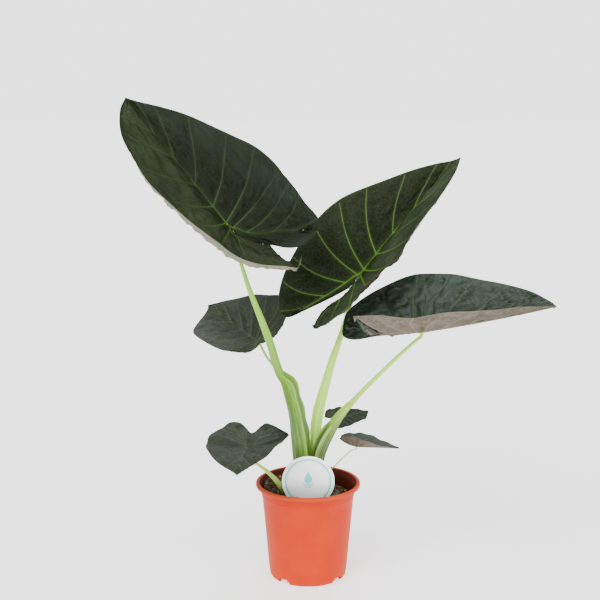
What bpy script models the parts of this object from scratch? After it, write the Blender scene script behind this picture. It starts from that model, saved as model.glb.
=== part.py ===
"""Potted alocasia in a nursery pot.

World frame: +Z up, metres, origin on the ground under the middle of the
plant's bounding box.  The pot's own axis stands at POT_AT in that frame.
Every piece is modelled about the pot's axis and moved to POT_AT at the end.
"""
import math

import bmesh
import bpy
from mathutils import Matrix, Vector

for old in list(bpy.data.objects):
    bpy.data.objects.remove(old, do_unlink=True)

# ---------------------------------------------------------------- dimensions
POT_AT = (-0.0495, 0.0125)           # where the pot's axis stands in the plant's frame

GAP = 0.0003                   # clearance between touching pieces

POT_H = 0.158                  # height of the pot
RIM_R = 0.085                  # outer radius of the rolled rim
RIM_IN_R = 0.0793              # inner edge of the rim
RIM_DROP = 0.0065              # depth of the rolled rim
NECK_R = 0.0757                # wall radius right under the rim
BASE_R = 0.0627                # wall radius at the foot
BAND_H = 0.0155                # height of the slightly wider band under the rim
BAND_STEP = 0.0011             # how far the band stands out from the wall
WALL = 0.0018                  # wall thickness
FOOT_H = 0.009                 # height of the foot ring under the floor
FOOT_W = 0.0068                # width of the foot ring
NOTCH_COUNT = 4
NOTCH_W = 0.022                # width of a drainage notch in the foot ring
NOTCH_H = 0.0085
NOTCH_TURN = math.radians(5.75)   # how far the notch pattern is turned
DRAIN_R = 0.005
DRAIN_AT = 0.043               # radius of the circle of drain holes

SOIL_MID = 0.141               # height of the compost at the pot's axis
SOIL_TILT = -0.17              # the compost is heaped towards -X
SOIL_LUMP = 0.0011

CORM_R = 0.0205
CORM_TOP = 0.150
CORM_FOOT = 0.112

LABEL_R = 0.042
LABEL_T = 0.0008
LABEL_Y = -0.0455
LABEL_Z = 0.173
STAKE_W = 0.014
STAKE_TIP = 0.075              # height of the stake's point

LEAF_T = 0.0012                # blade thickness

COL = bpy.data.collections.new("potted_alocasia")
CUT = bpy.data.collections.new("cutters")
bpy.context.scene.collection.children.link(COL)
bpy.context.scene.collection.children.link(CUT)


# ------------------------------------------------------------------ helpers
def material(name, rgb, rough, metal=0.0):
    m = bpy.data.materials.new(name)
    m.use_nodes = True
    b = m.node_tree.nodes["Principled BSDF"]
    b.inputs["Base Color"].default_value = (*rgb, 1.0)
    b.inputs["Roughness"].default_value = rough
    b.inputs["Metallic"].default_value = metal
    m.diffuse_color = (*rgb, 1.0)
    return m


def add(name, mesh, mat, coll=COL):
    ob = bpy.data.objects.new(name, mesh)
    coll.objects.link(ob)
    if mat is not None:
        mesh.materials.clear()
        mesh.materials.append(mat)
    return ob


def baked(ob):
    """The object's evaluated mesh, as a mesh of its own."""
    bpy.context.view_layer.update()
    dg = bpy.context.evaluated_depsgraph_get()
    me = bpy.data.meshes.new_from_object(ob.evaluated_get(dg))
    bm = bmesh.new()
    bm.from_mesh(me)
    bmesh.ops.remove_doubles(bm, verts=bm.verts, dist=1e-6)
    bmesh.ops.dissolve_degenerate(bm, dist=1e-7, edges=bm.edges)
    bm.to_mesh(me)
    bm.free()
    return me


def screw_mesh(name, profile, steps):
    """A profile at +X in the XZ plane, turned about Z."""
    me = bpy.data.meshes.new(name)
    me.from_pydata([(r, 0.0, z) for r, z in profile],
                   [(i, i + 1) for i in range(len(profile) - 1)], [])
    ob = add(name + "_profile", me, None, CUT)
    sc = ob.modifiers.new("turn", "SCREW")
    sc.axis = "Z"
    sc.angle = 2 * math.pi
    sc.steps = steps
    sc.render_steps = steps
    sc.use_merge_vertices = True
    sc.merge_threshold = 0.00001
    out = baked(ob)
    bpy.data.objects.remove(ob, do_unlink=True)
    return out


def hide_cutter(ob):
    ob.hide_render = True
    ob.display_type = "WIRE"


def cut(ob, cutter):
    hide_cutter(cutter)
    m = ob.modifiers.new("cut_" + cutter.name, "BOOLEAN")
    m.operation = "DIFFERENCE"
    m.object = cutter


def smooth(me, angle=0.6):
    me.shade_smooth()
    me.set_sharp_from_angle(angle=angle)


def catmull(points, n):
    """Read n+1 points off a smooth curve through the given points."""
    ps = [tuple(p) for p in points]
    k = len(ps[0])
    ext = [tuple(2 * a - b for a, b in zip(ps[0], ps[1]))] + ps + \
          [tuple(2 * a - b for a, b in zip(ps[-1], ps[-2]))]
    seg = [math.dist(ps[i][:3], ps[i + 1][:3]) for i in range(len(ps) - 1)]
    total = sum(seg)
    out = []
    for j in range(n + 1):
        s = total * j / n
        i = 0
        while i < len(seg) - 1 and s > seg[i]:
            s -= seg[i]
            i += 1
        t = min(1.0, s / seg[i])
        p0, p1, p2, p3 = ext[i], ext[i + 1], ext[i + 2], ext[i + 3]
        out.append(tuple(
            0.5 * ((2 * p1[c]) + (-p0[c] + p2[c]) * t
                   + (2 * p0[c] - 5 * p1[c] + 4 * p2[c] - p3[c]) * t * t
                   + (-p0[c] + 3 * p1[c] - 3 * p2[c] + p3[c]) * t ** 3)
            for c in range(k)))
    return out


# --------------------------------------------------------------------- pot
def wall_r(z):
    """Outer radius of the plain wall at height z."""
    return BASE_R + (NECK_R - BAND_STEP - BASE_R) * z / (POT_H - RIM_DROP - BAND_H)


def wall_in_r(z):
    return wall_r(z) - WALL


def pot_profile():
    top, lip = POT_H, POT_H - RIM_DROP
    band = lip - BAND_H
    floor_top = FOOT_H + 0.0022
    inner = [(0.0, floor_top), (wall_in_r(floor_top) - 0.004, floor_top),
             (wall_in_r(floor_top) - 0.001, floor_top + 0.001),
             (wall_in_r(floor_top + 0.004), floor_top + 0.004)]
    inner += [(wall_in_r(z), z) for z in (0.05, 0.09, 0.125)]
    inner += [(NECK_R - WALL - 0.0002, lip - 0.006),
              (NECK_R - WALL + 0.0012, lip - 0.001),
              (RIM_IN_R - 0.0012, top - 0.0028),
              (RIM_IN_R, top - 0.0010), (RIM_IN_R + 0.0008, top - 0.0002),
              (RIM_IN_R + 0.0018, top)]
    outer = [(RIM_R - 0.0016, top), (RIM_R - 0.0004, top - 0.0005),
             (RIM_R, top - 0.0016), (RIM_R, lip + 0.0014),
             (RIM_R - 0.0005, lip + 0.0003), (RIM_R - 0.0014, lip),
             (NECK_R + 0.0012, lip - 0.0001), (NECK_R, lip - 0.0012),
             (wall_r(band) + BAND_STEP, band + 0.0008),
             (wall_r(band) + BAND_STEP * 0.7, band + 0.0001),
             (wall_r(band - 0.001), band - 0.001)]
    outer += [(wall_r(z), z) for z in (0.10, 0.065, 0.03)]
    outer += [(wall_r(0.008), 0.008), (BASE_R - 0.0003, 0.0038),
              (BASE_R - 0.0013, 0.0014), (BASE_R - 0.0030, 0.0)]
    foot_in = BASE_R - FOOT_W
    under = [(foot_in + 0.0006, 0.0), (foot_in, 0.0006),
             (foot_in - 0.0004, FOOT_H - 0.0006), (foot_in - 0.0010, FOOT_H),
             (0.0, FOOT_H)]
    return inner + outer + under


def build_pot(mat):
    ob = add("pot", screw_mesh("pot", pot_profile(), 48), mat)
    smooth(ob.data, 0.5)
    for i in range(NOTCH_COUNT):
        az = NOTCH_TURN + math.radians(45.0) + i * 2 * math.pi / NOTCH_COUNT
        d = Vector((math.sin(az), -math.cos(az), 0.0))
        bm = bmesh.new()
        bmesh.ops.create_cube(bm, size=1.0)
        depth = FOOT_W + 0.010
        bmesh.ops.scale(bm, vec=(NOTCH_W, depth, 2 * NOTCH_H), verts=bm.verts)
        edges = [e for e in bm.edges
                 if abs(e.verts[0].co.y - e.verts[1].co.y) > depth * 0.9
                 and e.verts[0].co.z > 0]
        bmesh.ops.bevel(bm, geom=edges, offset=0.0035, segments=3, affect="EDGES")
        me = bpy.data.meshes.new("notch_%d" % i)
        bm.to_mesh(me)
        bm.free()
        cutter = add("notch_%d" % i, me, None, CUT)
        cutter.rotation_euler = (0.0, 0.0, math.atan2(d.y, d.x) - math.pi / 2)
        cutter.location = d * (BASE_R - FOOT_W / 2 + 0.001)
        cut(ob, cutter)
        bm = bmesh.new()
        bmesh.ops.create_cone(bm, cap_ends=True, segments=20, radius1=DRAIN_R,
                              radius2=DRAIN_R, depth=0.02)
        me = bpy.data.meshes.new("drain_%d" % i)
        bm.to_mesh(me)
        bm.free()
        cutter = add("drain_%d" % i, me, None, CUT)
        cutter.location = d * DRAIN_AT + Vector((0, 0, FOOT_H))
        cut(ob, cutter)
    return ob


# ------------------------------------------------------------------ compost
def soil_z(x, y):
    """Height of the compost's surface."""
    lump = (math.sin(210 * x + 1.0) * math.cos(190 * y - 0.6)
            + 0.6 * math.sin(340 * x - 260 * y + 0.4))
    return SOIL_MID + SOIL_TILT * x + SOIL_LUMP * lump


def build_soil(mat):
    floor = FOOT_H + 0.0022 + GAP
    r_top = 0.072
    prof = [(0.0, SOIL_MID)]
    prof += [(r_top * k / 6, SOIL_MID) for k in range(1, 7)]
    sides = (0.13, 0.09, 0.05, floor + 0.004)
    prof += [(wall_in_r(z) - GAP, z) for z in sides]
    prof += [(wall_in_r(floor) - 0.0055, floor), (0.0, floor)]
    me = screw_mesh("soil", prof, 40)
    for v in me.vertices:
        if v.co.z > SOIL_MID - 1e-5:
            r = math.hypot(v.co.x, v.co.y)
            z = soil_z(v.co.x, v.co.y)
            if r > r_top - 1e-4:
                s = (wall_in_r(min(z, 0.1375)) - GAP - 0.0002) / r
                v.co.x *= s
                v.co.y *= s
                z = soil_z(v.co.x, v.co.y)
            v.co.z = z
        elif abs(v.co.z - 0.13) < 1e-5:
            v.co.z = soil_z(v.co.x, v.co.y) - 0.014
            s = (wall_in_r(v.co.z) - GAP - 0.0002) / math.hypot(v.co.x, v.co.y)
            v.co.x *= s
            v.co.y *= s
    ob = add("soil", me, mat)
    smooth(me, 0.7)
    return ob


def build_corm(mat, soil):
    def profile(grow):
        r, foot, top = CORM_R + grow, CORM_FOOT - grow, CORM_TOP
        return [(0.0, top), (r * 0.82, top), (r * 0.94, top - 0.0015),
                (r, top - 0.005), (r, top - 0.018), (r * 0.86, foot + 0.006),
                (r * 0.5, foot + 0.0012), (0.0, foot)]
    ob = add("corm", screw_mesh("corm", profile(0.0), 24), mat)
    smooth(ob.data, 0.7)
    bigger = profile(GAP)
    bigger[0] = (0.0, CORM_TOP + 0.01)
    bigger[1] = (CORM_R + GAP, CORM_TOP + 0.01)
    bigger[2] = (CORM_R + GAP, CORM_TOP)
    cutter = add("corm_pocket", screw_mesh("corm_pocket", bigger, 24), None, CUT)
    cut(soil, cutter)
    return ob


# -------------------------------------------------------------------- label
def label_mesh(name, grow, thick, smooth_n):
    """Round tag and its stake: one flat outline, extruded."""
    r, w = LABEL_R + grow, STAKE_W / 2 + grow
    drop = LABEL_Z - STAKE_TIP + grow
    open_half = math.asin(w / r)
    pts = []
    for i in range(smooth_n + 1):
        a = -math.pi / 2 + open_half + (2 * math.pi - 2 * open_half) * i / smooth_n
        pts.append((r * math.cos(a), r * math.sin(a)))
    pts += [(-w, -drop + 0.012), (0.0, -drop), (w, -drop + 0.012)]
    cu = bpy.data.curves.new(name, "CURVE")
    cu.dimensions = "2D"
    cu.fill_mode = "BOTH"
    cu.extrude = thick / 2
    sp = cu.splines.new("POLY")
    sp.points.add(len(pts) - 1)
    for p, (x, y) in zip(sp.points, pts):
        p.co = (x, y, 0.0, 1.0)
    sp.use_cyclic_u = True
    ob = bpy.data.objects.new(name + "_outline", cu)
    CUT.objects.link(ob)
    me = baked(ob)
    bpy.data.objects.remove(ob, do_unlink=True)
    me.transform(Matrix.Translation((0.0, LABEL_Y, LABEL_Z))
                 @ Matrix.Rotation(math.pi / 2, 4, "X"))
    bm = bmesh.new()
    bm.from_mesh(me)
    bmesh.ops.recalc_face_normals(bm, faces=bm.faces)
    bm.to_mesh(me)
    bm.free()
    return me


def build_label(mat, soil):
    ob = add("plant_label", label_mesh("plant_label", 0.0, LABEL_T, 48), mat)
    cutter = add("label_slot", label_mesh("label_slot", GAP, LABEL_T + 2 * GAP, 32),
                 None, CUT)
    cut(soil, cutter)
    return ob


# -------------------------------------------------------------------- blade
# Outline of one half of a blade that is one unit long from the stalk's joint
# to the tip: (place along the margin, distance from the midrib, distance
# ahead of the joint).  It starts at the notch between the lobes.
OUTLINE = [(0.00, 0.000, -0.136), (0.10, 0.045, -0.30), (0.18, 0.10, -0.45),
           (0.25, 0.165, -0.55), (0.30, 0.235, -0.565), (0.37, 0.33, -0.48),
           (0.45, 0.415, -0.31), (0.52, 0.455, -0.12), (0.60, 0.467, 0.09),
           (0.68, 0.437, 0.255), (0.76, 0.367, 0.417), (0.84, 0.264, 0.633),
           (0.92, 0.137, 0.84), (0.97, 0.04, 0.955), (1.00, 0.0, 1.0)]
LOBE_TURN = 0.27               # the lobe's rib runs out to this place ...
JOINT_AT = 0.58                # ... and back to the joint at this one


def outline_of(p, side):
    """The outline with this half's own points put in place of the usual ones."""
    own = p["own_r" if side > 0 else "own_l"]
    return [(t, *own.get(i, (x, y))) for i, (t, x, y) in enumerate(OUTLINE)]


def hermite(line, t, col):
    n = len(line)

    def slope(i):
        lo, hi = max(i - 1, 0), min(i + 1, n - 1)
        return (line[hi][col] - line[lo][col]) / (line[hi][0] - line[lo][0])
    i = 0
    while i < n - 2 and t > line[i + 1][0]:
        i += 1
    k0, k1 = line[i][0], line[i + 1][0]
    h = k1 - k0
    s = (t - k0) / h
    v0, v1 = line[i][col], line[i + 1][col]
    return ((2 * s ** 3 - 3 * s ** 2 + 1) * v0 + (s ** 3 - 2 * s ** 2 + s) * h * slope(i)
            + (-2 * s ** 3 + 3 * s ** 2) * v1 + (s ** 3 - s ** 2) * h * slope(i + 1))


def rib(t):
    """Main rib of a lobe, from the joint (0) to its end (1)."""
    return (0.02 + 0.115 * t ** 1.3) * min(1.0, t * 8), -0.44 * t


def inner_line(a):
    if a < LOBE_TURN:
        return rib(a / LOBE_TURN)
    if a < JOINT_AT:
        return rib(1 - (a - LOBE_TURN) / (JOINT_AT - LOBE_TURN))
    return 0.0, ((a - JOINT_AT) / (1 - JOINT_AT)) ** 1.15


def fuller(y, p):
    if y >= 1.0:
        return 1.0
    return 1 + p["full"] * math.exp(-((y - 0.68) / 0.26) ** 2) * min(1.0, (1 - y) * 6)


def planform(a, b, side, p):
    """Flat blade: a runs round the margin, b from the ribs out to it."""
    wide, lobe = (p["wide_r"], p["lobe_r"]) if side > 0 else (p["wide_l"], p["lobe_l"])
    line = outline_of(p, side)
    ix, iy = inner_line(a)
    ox, oy = hermite(line, a, 1), hermite(line, a, 2)
    x, y = ix + (ox - ix) * b, iy + (oy - iy) * b
    if a > JOINT_AT:
        y -= 0.05 * math.sin(math.pi * (a - JOINT_AT) / (1 - JOINT_AT)) * math.sin(math.pi * b)
    x *= fuller(y, p)
    if y < 0:
        y *= lobe
    return x * wide, y


def half_width(y, side, p):
    wide, lobe = (p["wide_r"], p["lobe_r"]) if side > 0 else (p["wide_l"], p["lobe_l"])
    key = (side, id(p))
    table = half_width.cache.get(key)
    if table is None:
        table = []
        line = outline_of(p, side)
        for i in range(120):
            a = LOBE_TURN + (1 - LOBE_TURN) * i / 119
            yy = hermite(line, a, 2)
            table.append((yy * lobe if yy < 0 else yy, hermite(line, a, 1) * wide * fuller(yy, p)))
        table.sort()
        half_width.cache[key] = table
    if y <= table[0][0]:
        return max(table[0][1], 0.03)
    for (y0, w0), (y1, w1) in zip(table, table[1:]):
        if y <= y1:
            return max(w0 + (w1 - w0) * (y - y0) / max(y1 - y0, 1e-9), 0.03)
    return 0.03


half_width.cache = {}


def midrib(y, p):
    """Arc of the midrib in its own plane: ahead, up and slope at station y."""
    n = 40
    yy = up = tau = 0.0
    for i in range(n):
        s = y * (i + 0.5) / n
        tau = -(p["arch"] * s + p["nod"] * s * s) if y >= 0 else p["rear"] * s
        yy += math.cos(tau) * y / n
        up += math.sin(tau) * y / n
    tau = -(p["arch"] * y + p["nod"] * y * y) if y >= 0 else p["rear"] * y
    return yy, up, tau


def shaped(x, y, side, p):
    """Fold, curl and arch the flat point; local X right, Y ahead, Z up."""
    s = "_r" if side > 0 else "_l"
    my, mz, tau = midrib(y, p)
    yp, yn = max(y, 0.0), max(-y, 0.0)
    yn = yn * yn / (yn + 0.08)
    fold = math.radians(p["fold" + s] + p["fold_tip" + s] * yp + p["fold_lobe" + s] * yn)
    w = half_width(y, side, p)
    px = pz = 0.0
    n = 14
    for i in range(n):
        u = x * (i + 0.5) / n
        al = fold + p["curl" + s] * u + p["roll" + s] * min(u / w, 1.2) ** 5
        px += math.cos(al) * x / n
        pz += math.sin(al) * x / n
    rel = min(max(x / w, 0.0), 1.2)
    for at, width, rise in p["wave" + s]:
        pz += rise * rel ** 2 * math.exp(-((y - at) / width) ** 2)
    px *= side
    X, Y, Z = px, my - math.sin(tau) * pz, mz + math.cos(tau) * pz
    t = min(max((0.12 - y) / 0.5, 0.0), 1.0)
    g = math.radians(p["swing"] + p["swing" + s] * min(x / 0.08, 1.0)) * t * t * (3 - 2 * t)
    return (X * math.cos(g) - Y * math.sin(g), X * math.sin(g) + Y * math.cos(g), Z)


def blade_axes(p):
    """Right, ahead and up directions of a blade at its joint."""
    ps, ep, ro = (math.radians(p[k]) for k in ("heading", "rise", "bank"))
    ahead = Vector((math.cos(ep) * math.cos(ps), math.cos(ep) * math.sin(ps), math.sin(ep)))
    up0 = Vector((-math.sin(ep) * math.cos(ps), -math.sin(ep) * math.sin(ps), math.cos(ep)))
    right0 = ahead.cross(up0)
    up = math.cos(ro) * up0 + math.sin(ro) * right0
    right = math.cos(ro) * right0 - math.sin(ro) * up0
    return right, ahead, up


def build_blade(name, p, mat, ribs, margin, rings):
    """Both halves of a blade as one sheet, thickened downwards."""
    right, ahead, up = blade_axes(p)
    joint = Vector(p["joint"])
    stations = [LOBE_TURN * i / ribs for i in range(ribs)]
    stations += [LOBE_TURN + (JOINT_AT - LOBE_TURN) * i / ribs for i in range(ribs)]
    stations += [JOINT_AT + (1 - JOINT_AT) * i / margin for i in range(margin + 1)]
    bm = bmesh.new()
    for side in (1, -1):
        grid = []
        for a in stations:
            row = []
            for j in range(rings + 1):
                x, y = planform(a, j / rings, side, p)
                X, Y, Z = shaped(x, y, side, p)
                co = joint + p["length"] * (X * right + Y * ahead + Z * up)
                row.append(bm.verts.new(co))
            grid.append(row)
        for r0, r1 in zip(grid, grid[1:]):
            for j in range(rings):
                quad = [r0[j], r0[j + 1], r1[j + 1], r1[j]]
                bm.faces.new(quad if side > 0 else quad[::-1])
    bmesh.ops.remove_doubles(bm, verts=bm.verts, dist=2e-6)
    bmesh.ops.dissolve_degenerate(bm, dist=1e-6, edges=bm.edges)
    me = bpy.data.meshes.new(name)
    bm.to_mesh(me)
    bm.free()
    ob = add(name, me, mat)
    me.shade_smooth()
    so = ob.modifiers.new("thickness", "SOLIDIFY")
    so.thickness = p.get("thick", LEAF_T)
    so.offset = -1.0
    so.use_even_offset = False
    return ob


# Every blade: where the stalk joins it, which way it points, how it is banked
# about its midrib, and how each half folds and curls.
PLAIN = dict(full=0.0, swing=0.0, swing_r=0.0, swing_l=0.0, arch=0.0, nod=0.0, rear=0.0,
             wide_r=1.0, wide_l=1.0, lobe_r=1.0, lobe_l=1.0,
             fold_r=0.0, fold_l=0.0, fold_tip_r=0.0, fold_tip_l=0.0,
             fold_lobe_r=0.0, fold_lobe_l=0.0, curl_r=0.0, curl_l=0.0,
             roll_r=0.0, roll_l=0.0, own_r={}, own_l={}, wave_r=(), wave_l=())


def blade(**own):
    p = dict(PLAIN)
    p.update(own)
    return p


BLADES = {
    "upper_left": blade(joint=(-0.122, -0.080, 0.589), length=0.243, heading=180, rise=52,
                        bank=-60, full=0.10, swing=30, rear=0.2, wide_r=1.08, lobe_l=0.85,
                        fold_r=5, curl_r=-0.2, fold_l=30, fold_tip_l=-35, fold_lobe_l=17,
                        curl_l=1.1, roll_l=0.9,
                        own_r={0: (0.0, -0.30), 1: (0.008, -0.395), 2: (0.05, -0.485),
                               3: (0.14, -0.55), 4: (0.235, -0.55), 5: (0.31, -0.43),
                               6: (0.385, -0.31), 7: (0.465, -0.12), 8: (0.475, 0.09),
                               9: (0.447, 0.255), 10: (0.355, 0.417), 11: (0.235, 0.633),
                               12: (0.115, 0.84), 13: (0.028, 0.955)},
                        wave_l=((0.70, 0.12, 0.05), (-0.30, 0.25, 0.05)),
                        own_l={0: (0.0, -0.353), 1: (0.08, -0.42), 2: (0.12, -0.48),
                               3: (0.14, -0.53), 4: (0.21, -0.56), 8: (0.465, 0.09), 9: (0.445, 0.255),
                               10: (0.385, 0.417), 11: (0.305, 0.65), 12: (0.19, 0.855),
                               13: (0.09, 0.957)}),
    "centre": blade(joint=(0.087, 0.030, 0.499), length=0.245, heading=0, rise=53, bank=65,
                    full=-0.08, swing=-4, arch=0.2, nod=0.2, rear=-0.1, lobe_r=0.75,
                    lobe_l=1.02, fold_r=46, fold_tip_r=-5, curl_r=1.2, roll_r=0.3,
                    fold_l=8, curl_l=-0.3, swing_r=-14, fold_lobe_r=-25,
                    own_r={4: (0.25, -0.565), 5: (0.36, -0.48), 6: (0.45, -0.31), 7: (0.44, -0.12),
                           8: (0.50, 0.09), 9: (0.48, 0.255)},
                    own_l={1: (0.06, -0.30), 2: (0.125, -0.45), 3: (0.175, -0.55), 11: (0.250, 0.633),
                           12: (0.105, 0.84), 13: (0.02, 0.955)},
                    wave_r=((0.22, 0.13, -0.15),)),
    "right": blade(joint=(0.1747, -0.055, 0.420), length=0.211, heading=-8, rise=10, bank=6,
                   full=0.17, arch=-0.09, rear=-0.3, lobe_r=0.85, lobe_l=1.05, fold_r=34,
                   fold_lobe_r=28, curl_r=-0.2, fold_l=47, fold_lobe_l=-11, curl_l=-0.2,
                   own_l={1: (0.03, -0.31), 2: (0.05, -0.47), 3: (0.115, -0.55), 4: (0.215, -0.535),
                          6: (0.41, -0.31), 7: (0.475, -0.12), 8: (0.485, 0.09), 9: (0.445, 0.255),
                          10: (0.365, 0.417),
                          11: (0.240, 0.64), 12: (0.150, 0.85), 13: (0.055, 0.957)},
                   own_r={1: (0.045, -0.29), 2: (0.14, -0.36), 3: (0.285, -0.395), 4: (0.435, -0.435),
                          5: (0.53, -0.45), 6: (0.525, -0.36), 7: (0.515, -0.17), 8: (0.42, 0.04),
                          9: (0.46, 0.24), 10: (0.31, 0.417), 11: (0.20, 0.65), 12: (0.11, 0.86),
                          13: (0.05, 0.957)}),
    "middle_left": blade(joint=(-0.084, 0.080, 0.375), length=0.128, heading=130, rise=15,
                         bank=-50, full=0.25, arch=-0.3, rear=1.5, wide_r=1.1, wide_l=1.3,
                         lobe_r=0.5, lobe_l=0.35, fold_r=5, fold_l=28, curl_l=1.0,
                         own_r={0: (0.0, -0.20), 1: (0.035, -0.30), 4: (0.26, -0.60), 5: (0.40, -0.50),
                                6: (0.50, -0.31), 7: (0.575, -0.09), 8: (0.590, 0.14), 9: (0.505, 0.315),
                                10: (0.38, 0.49), 11: (0.24, 0.67), 12: (0.12, 0.85)},
                         own_l={0: (0.0, -0.20), 1: (0.035, -0.30), 4: (0.20, -0.565), 5: (0.25, -0.48),
                                6: (0.31, -0.31), 7: (0.37, -0.12), 8: (0.46, 0.09), 9: (0.50, 0.255),
                                10: (0.49, 0.417), 11: (0.39, 0.62), 12: (0.20, 0.84)}),
    "lower_left": blade(joint=(-0.095, -0.070, 0.236), length=0.096, heading=-98, rise=12,
                        bank=0, full=0.2, arch=0.7, rear=3.2, wide_r=1.45, wide_l=1.5,
                        fold_r=3, fold_l=9, curl_l=0.25, roll_l=0.5,
                        own_r={0: (0.0, -0.40), 1: (0.03, -0.43), 2: (0.06, -0.48), 3: (0.14, -0.57),
                               4: (0.25, -0.57), 5: (0.33, -0.48), 6: (0.42, -0.39), 7: (0.49, -0.25)},
                        own_l={0: (0.0, -0.40), 1: (0.045, -0.43), 2: (0.11, -0.53), 3: (0.18, -0.60),
                               4: (0.28, -0.58), 5: (0.38, -0.48), 6: (0.455, -0.33), 7: (0.475, -0.16)}),
    "small_back": blade(joint=(0.056, 0.120, 0.2305), length=0.05, heading=5, rise=13,
                        bank=38, full=0.3, lobe_r=0.7, lobe_l=0.9, curl_r=0.5, fold_l=-2,
                        own_r={12: (0.26, 0.84), 13: (0.10, 0.955)},
                        own_l={5: (0.42, -0.48), 6: (0.48, -0.31), 9: (0.38, 0.255), 10: (0.27, 0.417),
                               11: (0.15, 0.633), 12: (0.07, 0.84), 13: (0.02, 0.955)}),
    "small_right": blade(joint=(0.079, 0.020, 0.211), length=0.073, heading=-15, rise=2,
                         bank=-9, full=-0.1, rear=1.0, lobe_r=0.7, lobe_l=0.8, fold_r=36,
                         fold_tip_r=-30, fold_l=33, fold_tip_l=-12, thick=0.0010),
    "sprout": blade(joint=(0.045, -0.050, 0.1490), length=0.014, heading=80, rise=48,
                    bank=0, wide_r=1.3, wide_l=1.3, lobe_r=0.6, lobe_l=0.6, arch=0.5,
                    fold_r=-12, fold_l=-12, thick=0.0008),
}

# Every stalk from its foot up to the blade: points on its centre line with
# the half widths across (seen from the front) and in depth.
STALKS = {
    "upper_left": [(-0.0100, -0.0080, 0.1506, 0.0090, 0.0076),
                   (-0.0120, -0.0110, 0.205, 0.0132, 0.0092),
                   (-0.0160, -0.0160, 0.245, 0.0128, 0.0090),
                   (-0.0198, -0.0210, 0.278, 0.0122, 0.0088),
                   (-0.0262, -0.0280, 0.311, 0.0124, 0.0084),
                   (-0.0325, -0.0340, 0.333, 0.0116, 0.0078),
                   (-0.0440, -0.0395, 0.348, 0.0074, 0.0070),
                   (-0.0512, -0.0435, 0.368, 0.0066, 0.0066),
                   (-0.0590, -0.047, 0.397, 0.0063, 0.0063),
                   (-0.0740, -0.054, 0.441, 0.0052, 0.0052),
                   (-0.0900, -0.061, 0.485, 0.0039, 0.0039),
                   (-0.1035, -0.067, 0.530, 0.0028, 0.0028),
                   (-0.1130, -0.069, 0.562, 0.0026, 0.0026)],
    "centre": [(0.0035, 0.0085, 0.1506, 0.0060, 0.0055),
               (0.0100, 0.0085, 0.200, 0.0072, 0.0062),
               (0.0125, 0.0090, 0.240, 0.0086, 0.0068),
               (0.0160, 0.0110, 0.270, 0.0090, 0.0070),
               (0.0256, 0.0150, 0.308, 0.0076, 0.0066),
               (0.0394, 0.0200, 0.356, 0.0062, 0.0058),
               (0.0535, 0.0250, 0.397, 0.0046, 0.0046),
               (0.0680, 0.0330, 0.444, 0.0034, 0.0034),
               (0.0800, 0.0400, 0.478, 0.0030, 0.0030)],
    "right": [(0.0105, -0.0060, 0.1506, 0.0082, 0.0068),
              (0.0160, -0.0100, 0.199, 0.0105, 0.0078),
              (0.0210, -0.0125, 0.220, 0.0112, 0.0078),
              (0.0310, -0.0160, 0.240, 0.0086, 0.0070),
              (0.0514, -0.0220, 0.2745, 0.0060, 0.0058),
              (0.0748, -0.0290, 0.3047, 0.0042, 0.0042),
              (0.0980, -0.0360, 0.3324, 0.0035, 0.0035),
              (0.1355, -0.0450, 0.373, 0.0030, 0.0030),
              (0.1630, -0.0520, 0.401, 0.0027, 0.0027)],
    "middle_left": [(-0.0095, 0.0090, 0.1506, 0.0040, 0.0040),
                    (-0.0100, 0.0180, 0.215, 0.0038, 0.0038),
                    (-0.0210, 0.0350, 0.262, 0.0034, 0.0034),
                    (-0.0380, 0.0560, 0.305, 0.0028, 0.0028),
                    (-0.0560, 0.0750, 0.331, 0.0024, 0.0024),
                    (-0.0700, 0.0850, 0.348, 0.0021, 0.0021)],
    "lower_left": [(-0.0340, -0.0320, 0.0, 0.0066, 0.0052),
                   (-0.0440, -0.0375, 0.162, 0.0055, 0.0046),
                   (-0.0530, -0.0455, 0.177, 0.0040, 0.0038),
                   (-0.0690, -0.0570, 0.197, 0.0027, 0.0027),
                   (-0.0840, -0.0680, 0.213, 0.0021, 0.0021)],
    "small_back": [(0.0150, 0.0090, 0.1506, 0.0028, 0.0028),
                   (0.0210, 0.0250, 0.188, 0.0026, 0.0026),
                   (0.0290, 0.0480, 0.201, 0.0022, 0.0022),
                   (0.0400, 0.0850, 0.2060, 0.0018, 0.0018),
                   (0.0500, 0.1200, 0.2120, 0.0015, 0.0015)],
    "small_right": [(0.0280, 0.0090, 0.0, 0.0014, 0.0014),
                    (0.0330, 0.0100, 0.166, 0.0010, 0.0010),
                    (0.0430, 0.0120, 0.179, 0.0009, 0.0009),
                    (0.0610, 0.0160, 0.196, 0.0008, 0.0008),
                    (0.0725, 0.0185, 0.2050, 0.0008, 0.0008)],
    "sprout": [(0.0445, -0.0470, 0.0, 0.0016, 0.0016),
               (0.0448, -0.0485, 0.1405, 0.0013, 0.0013)],
}


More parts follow.
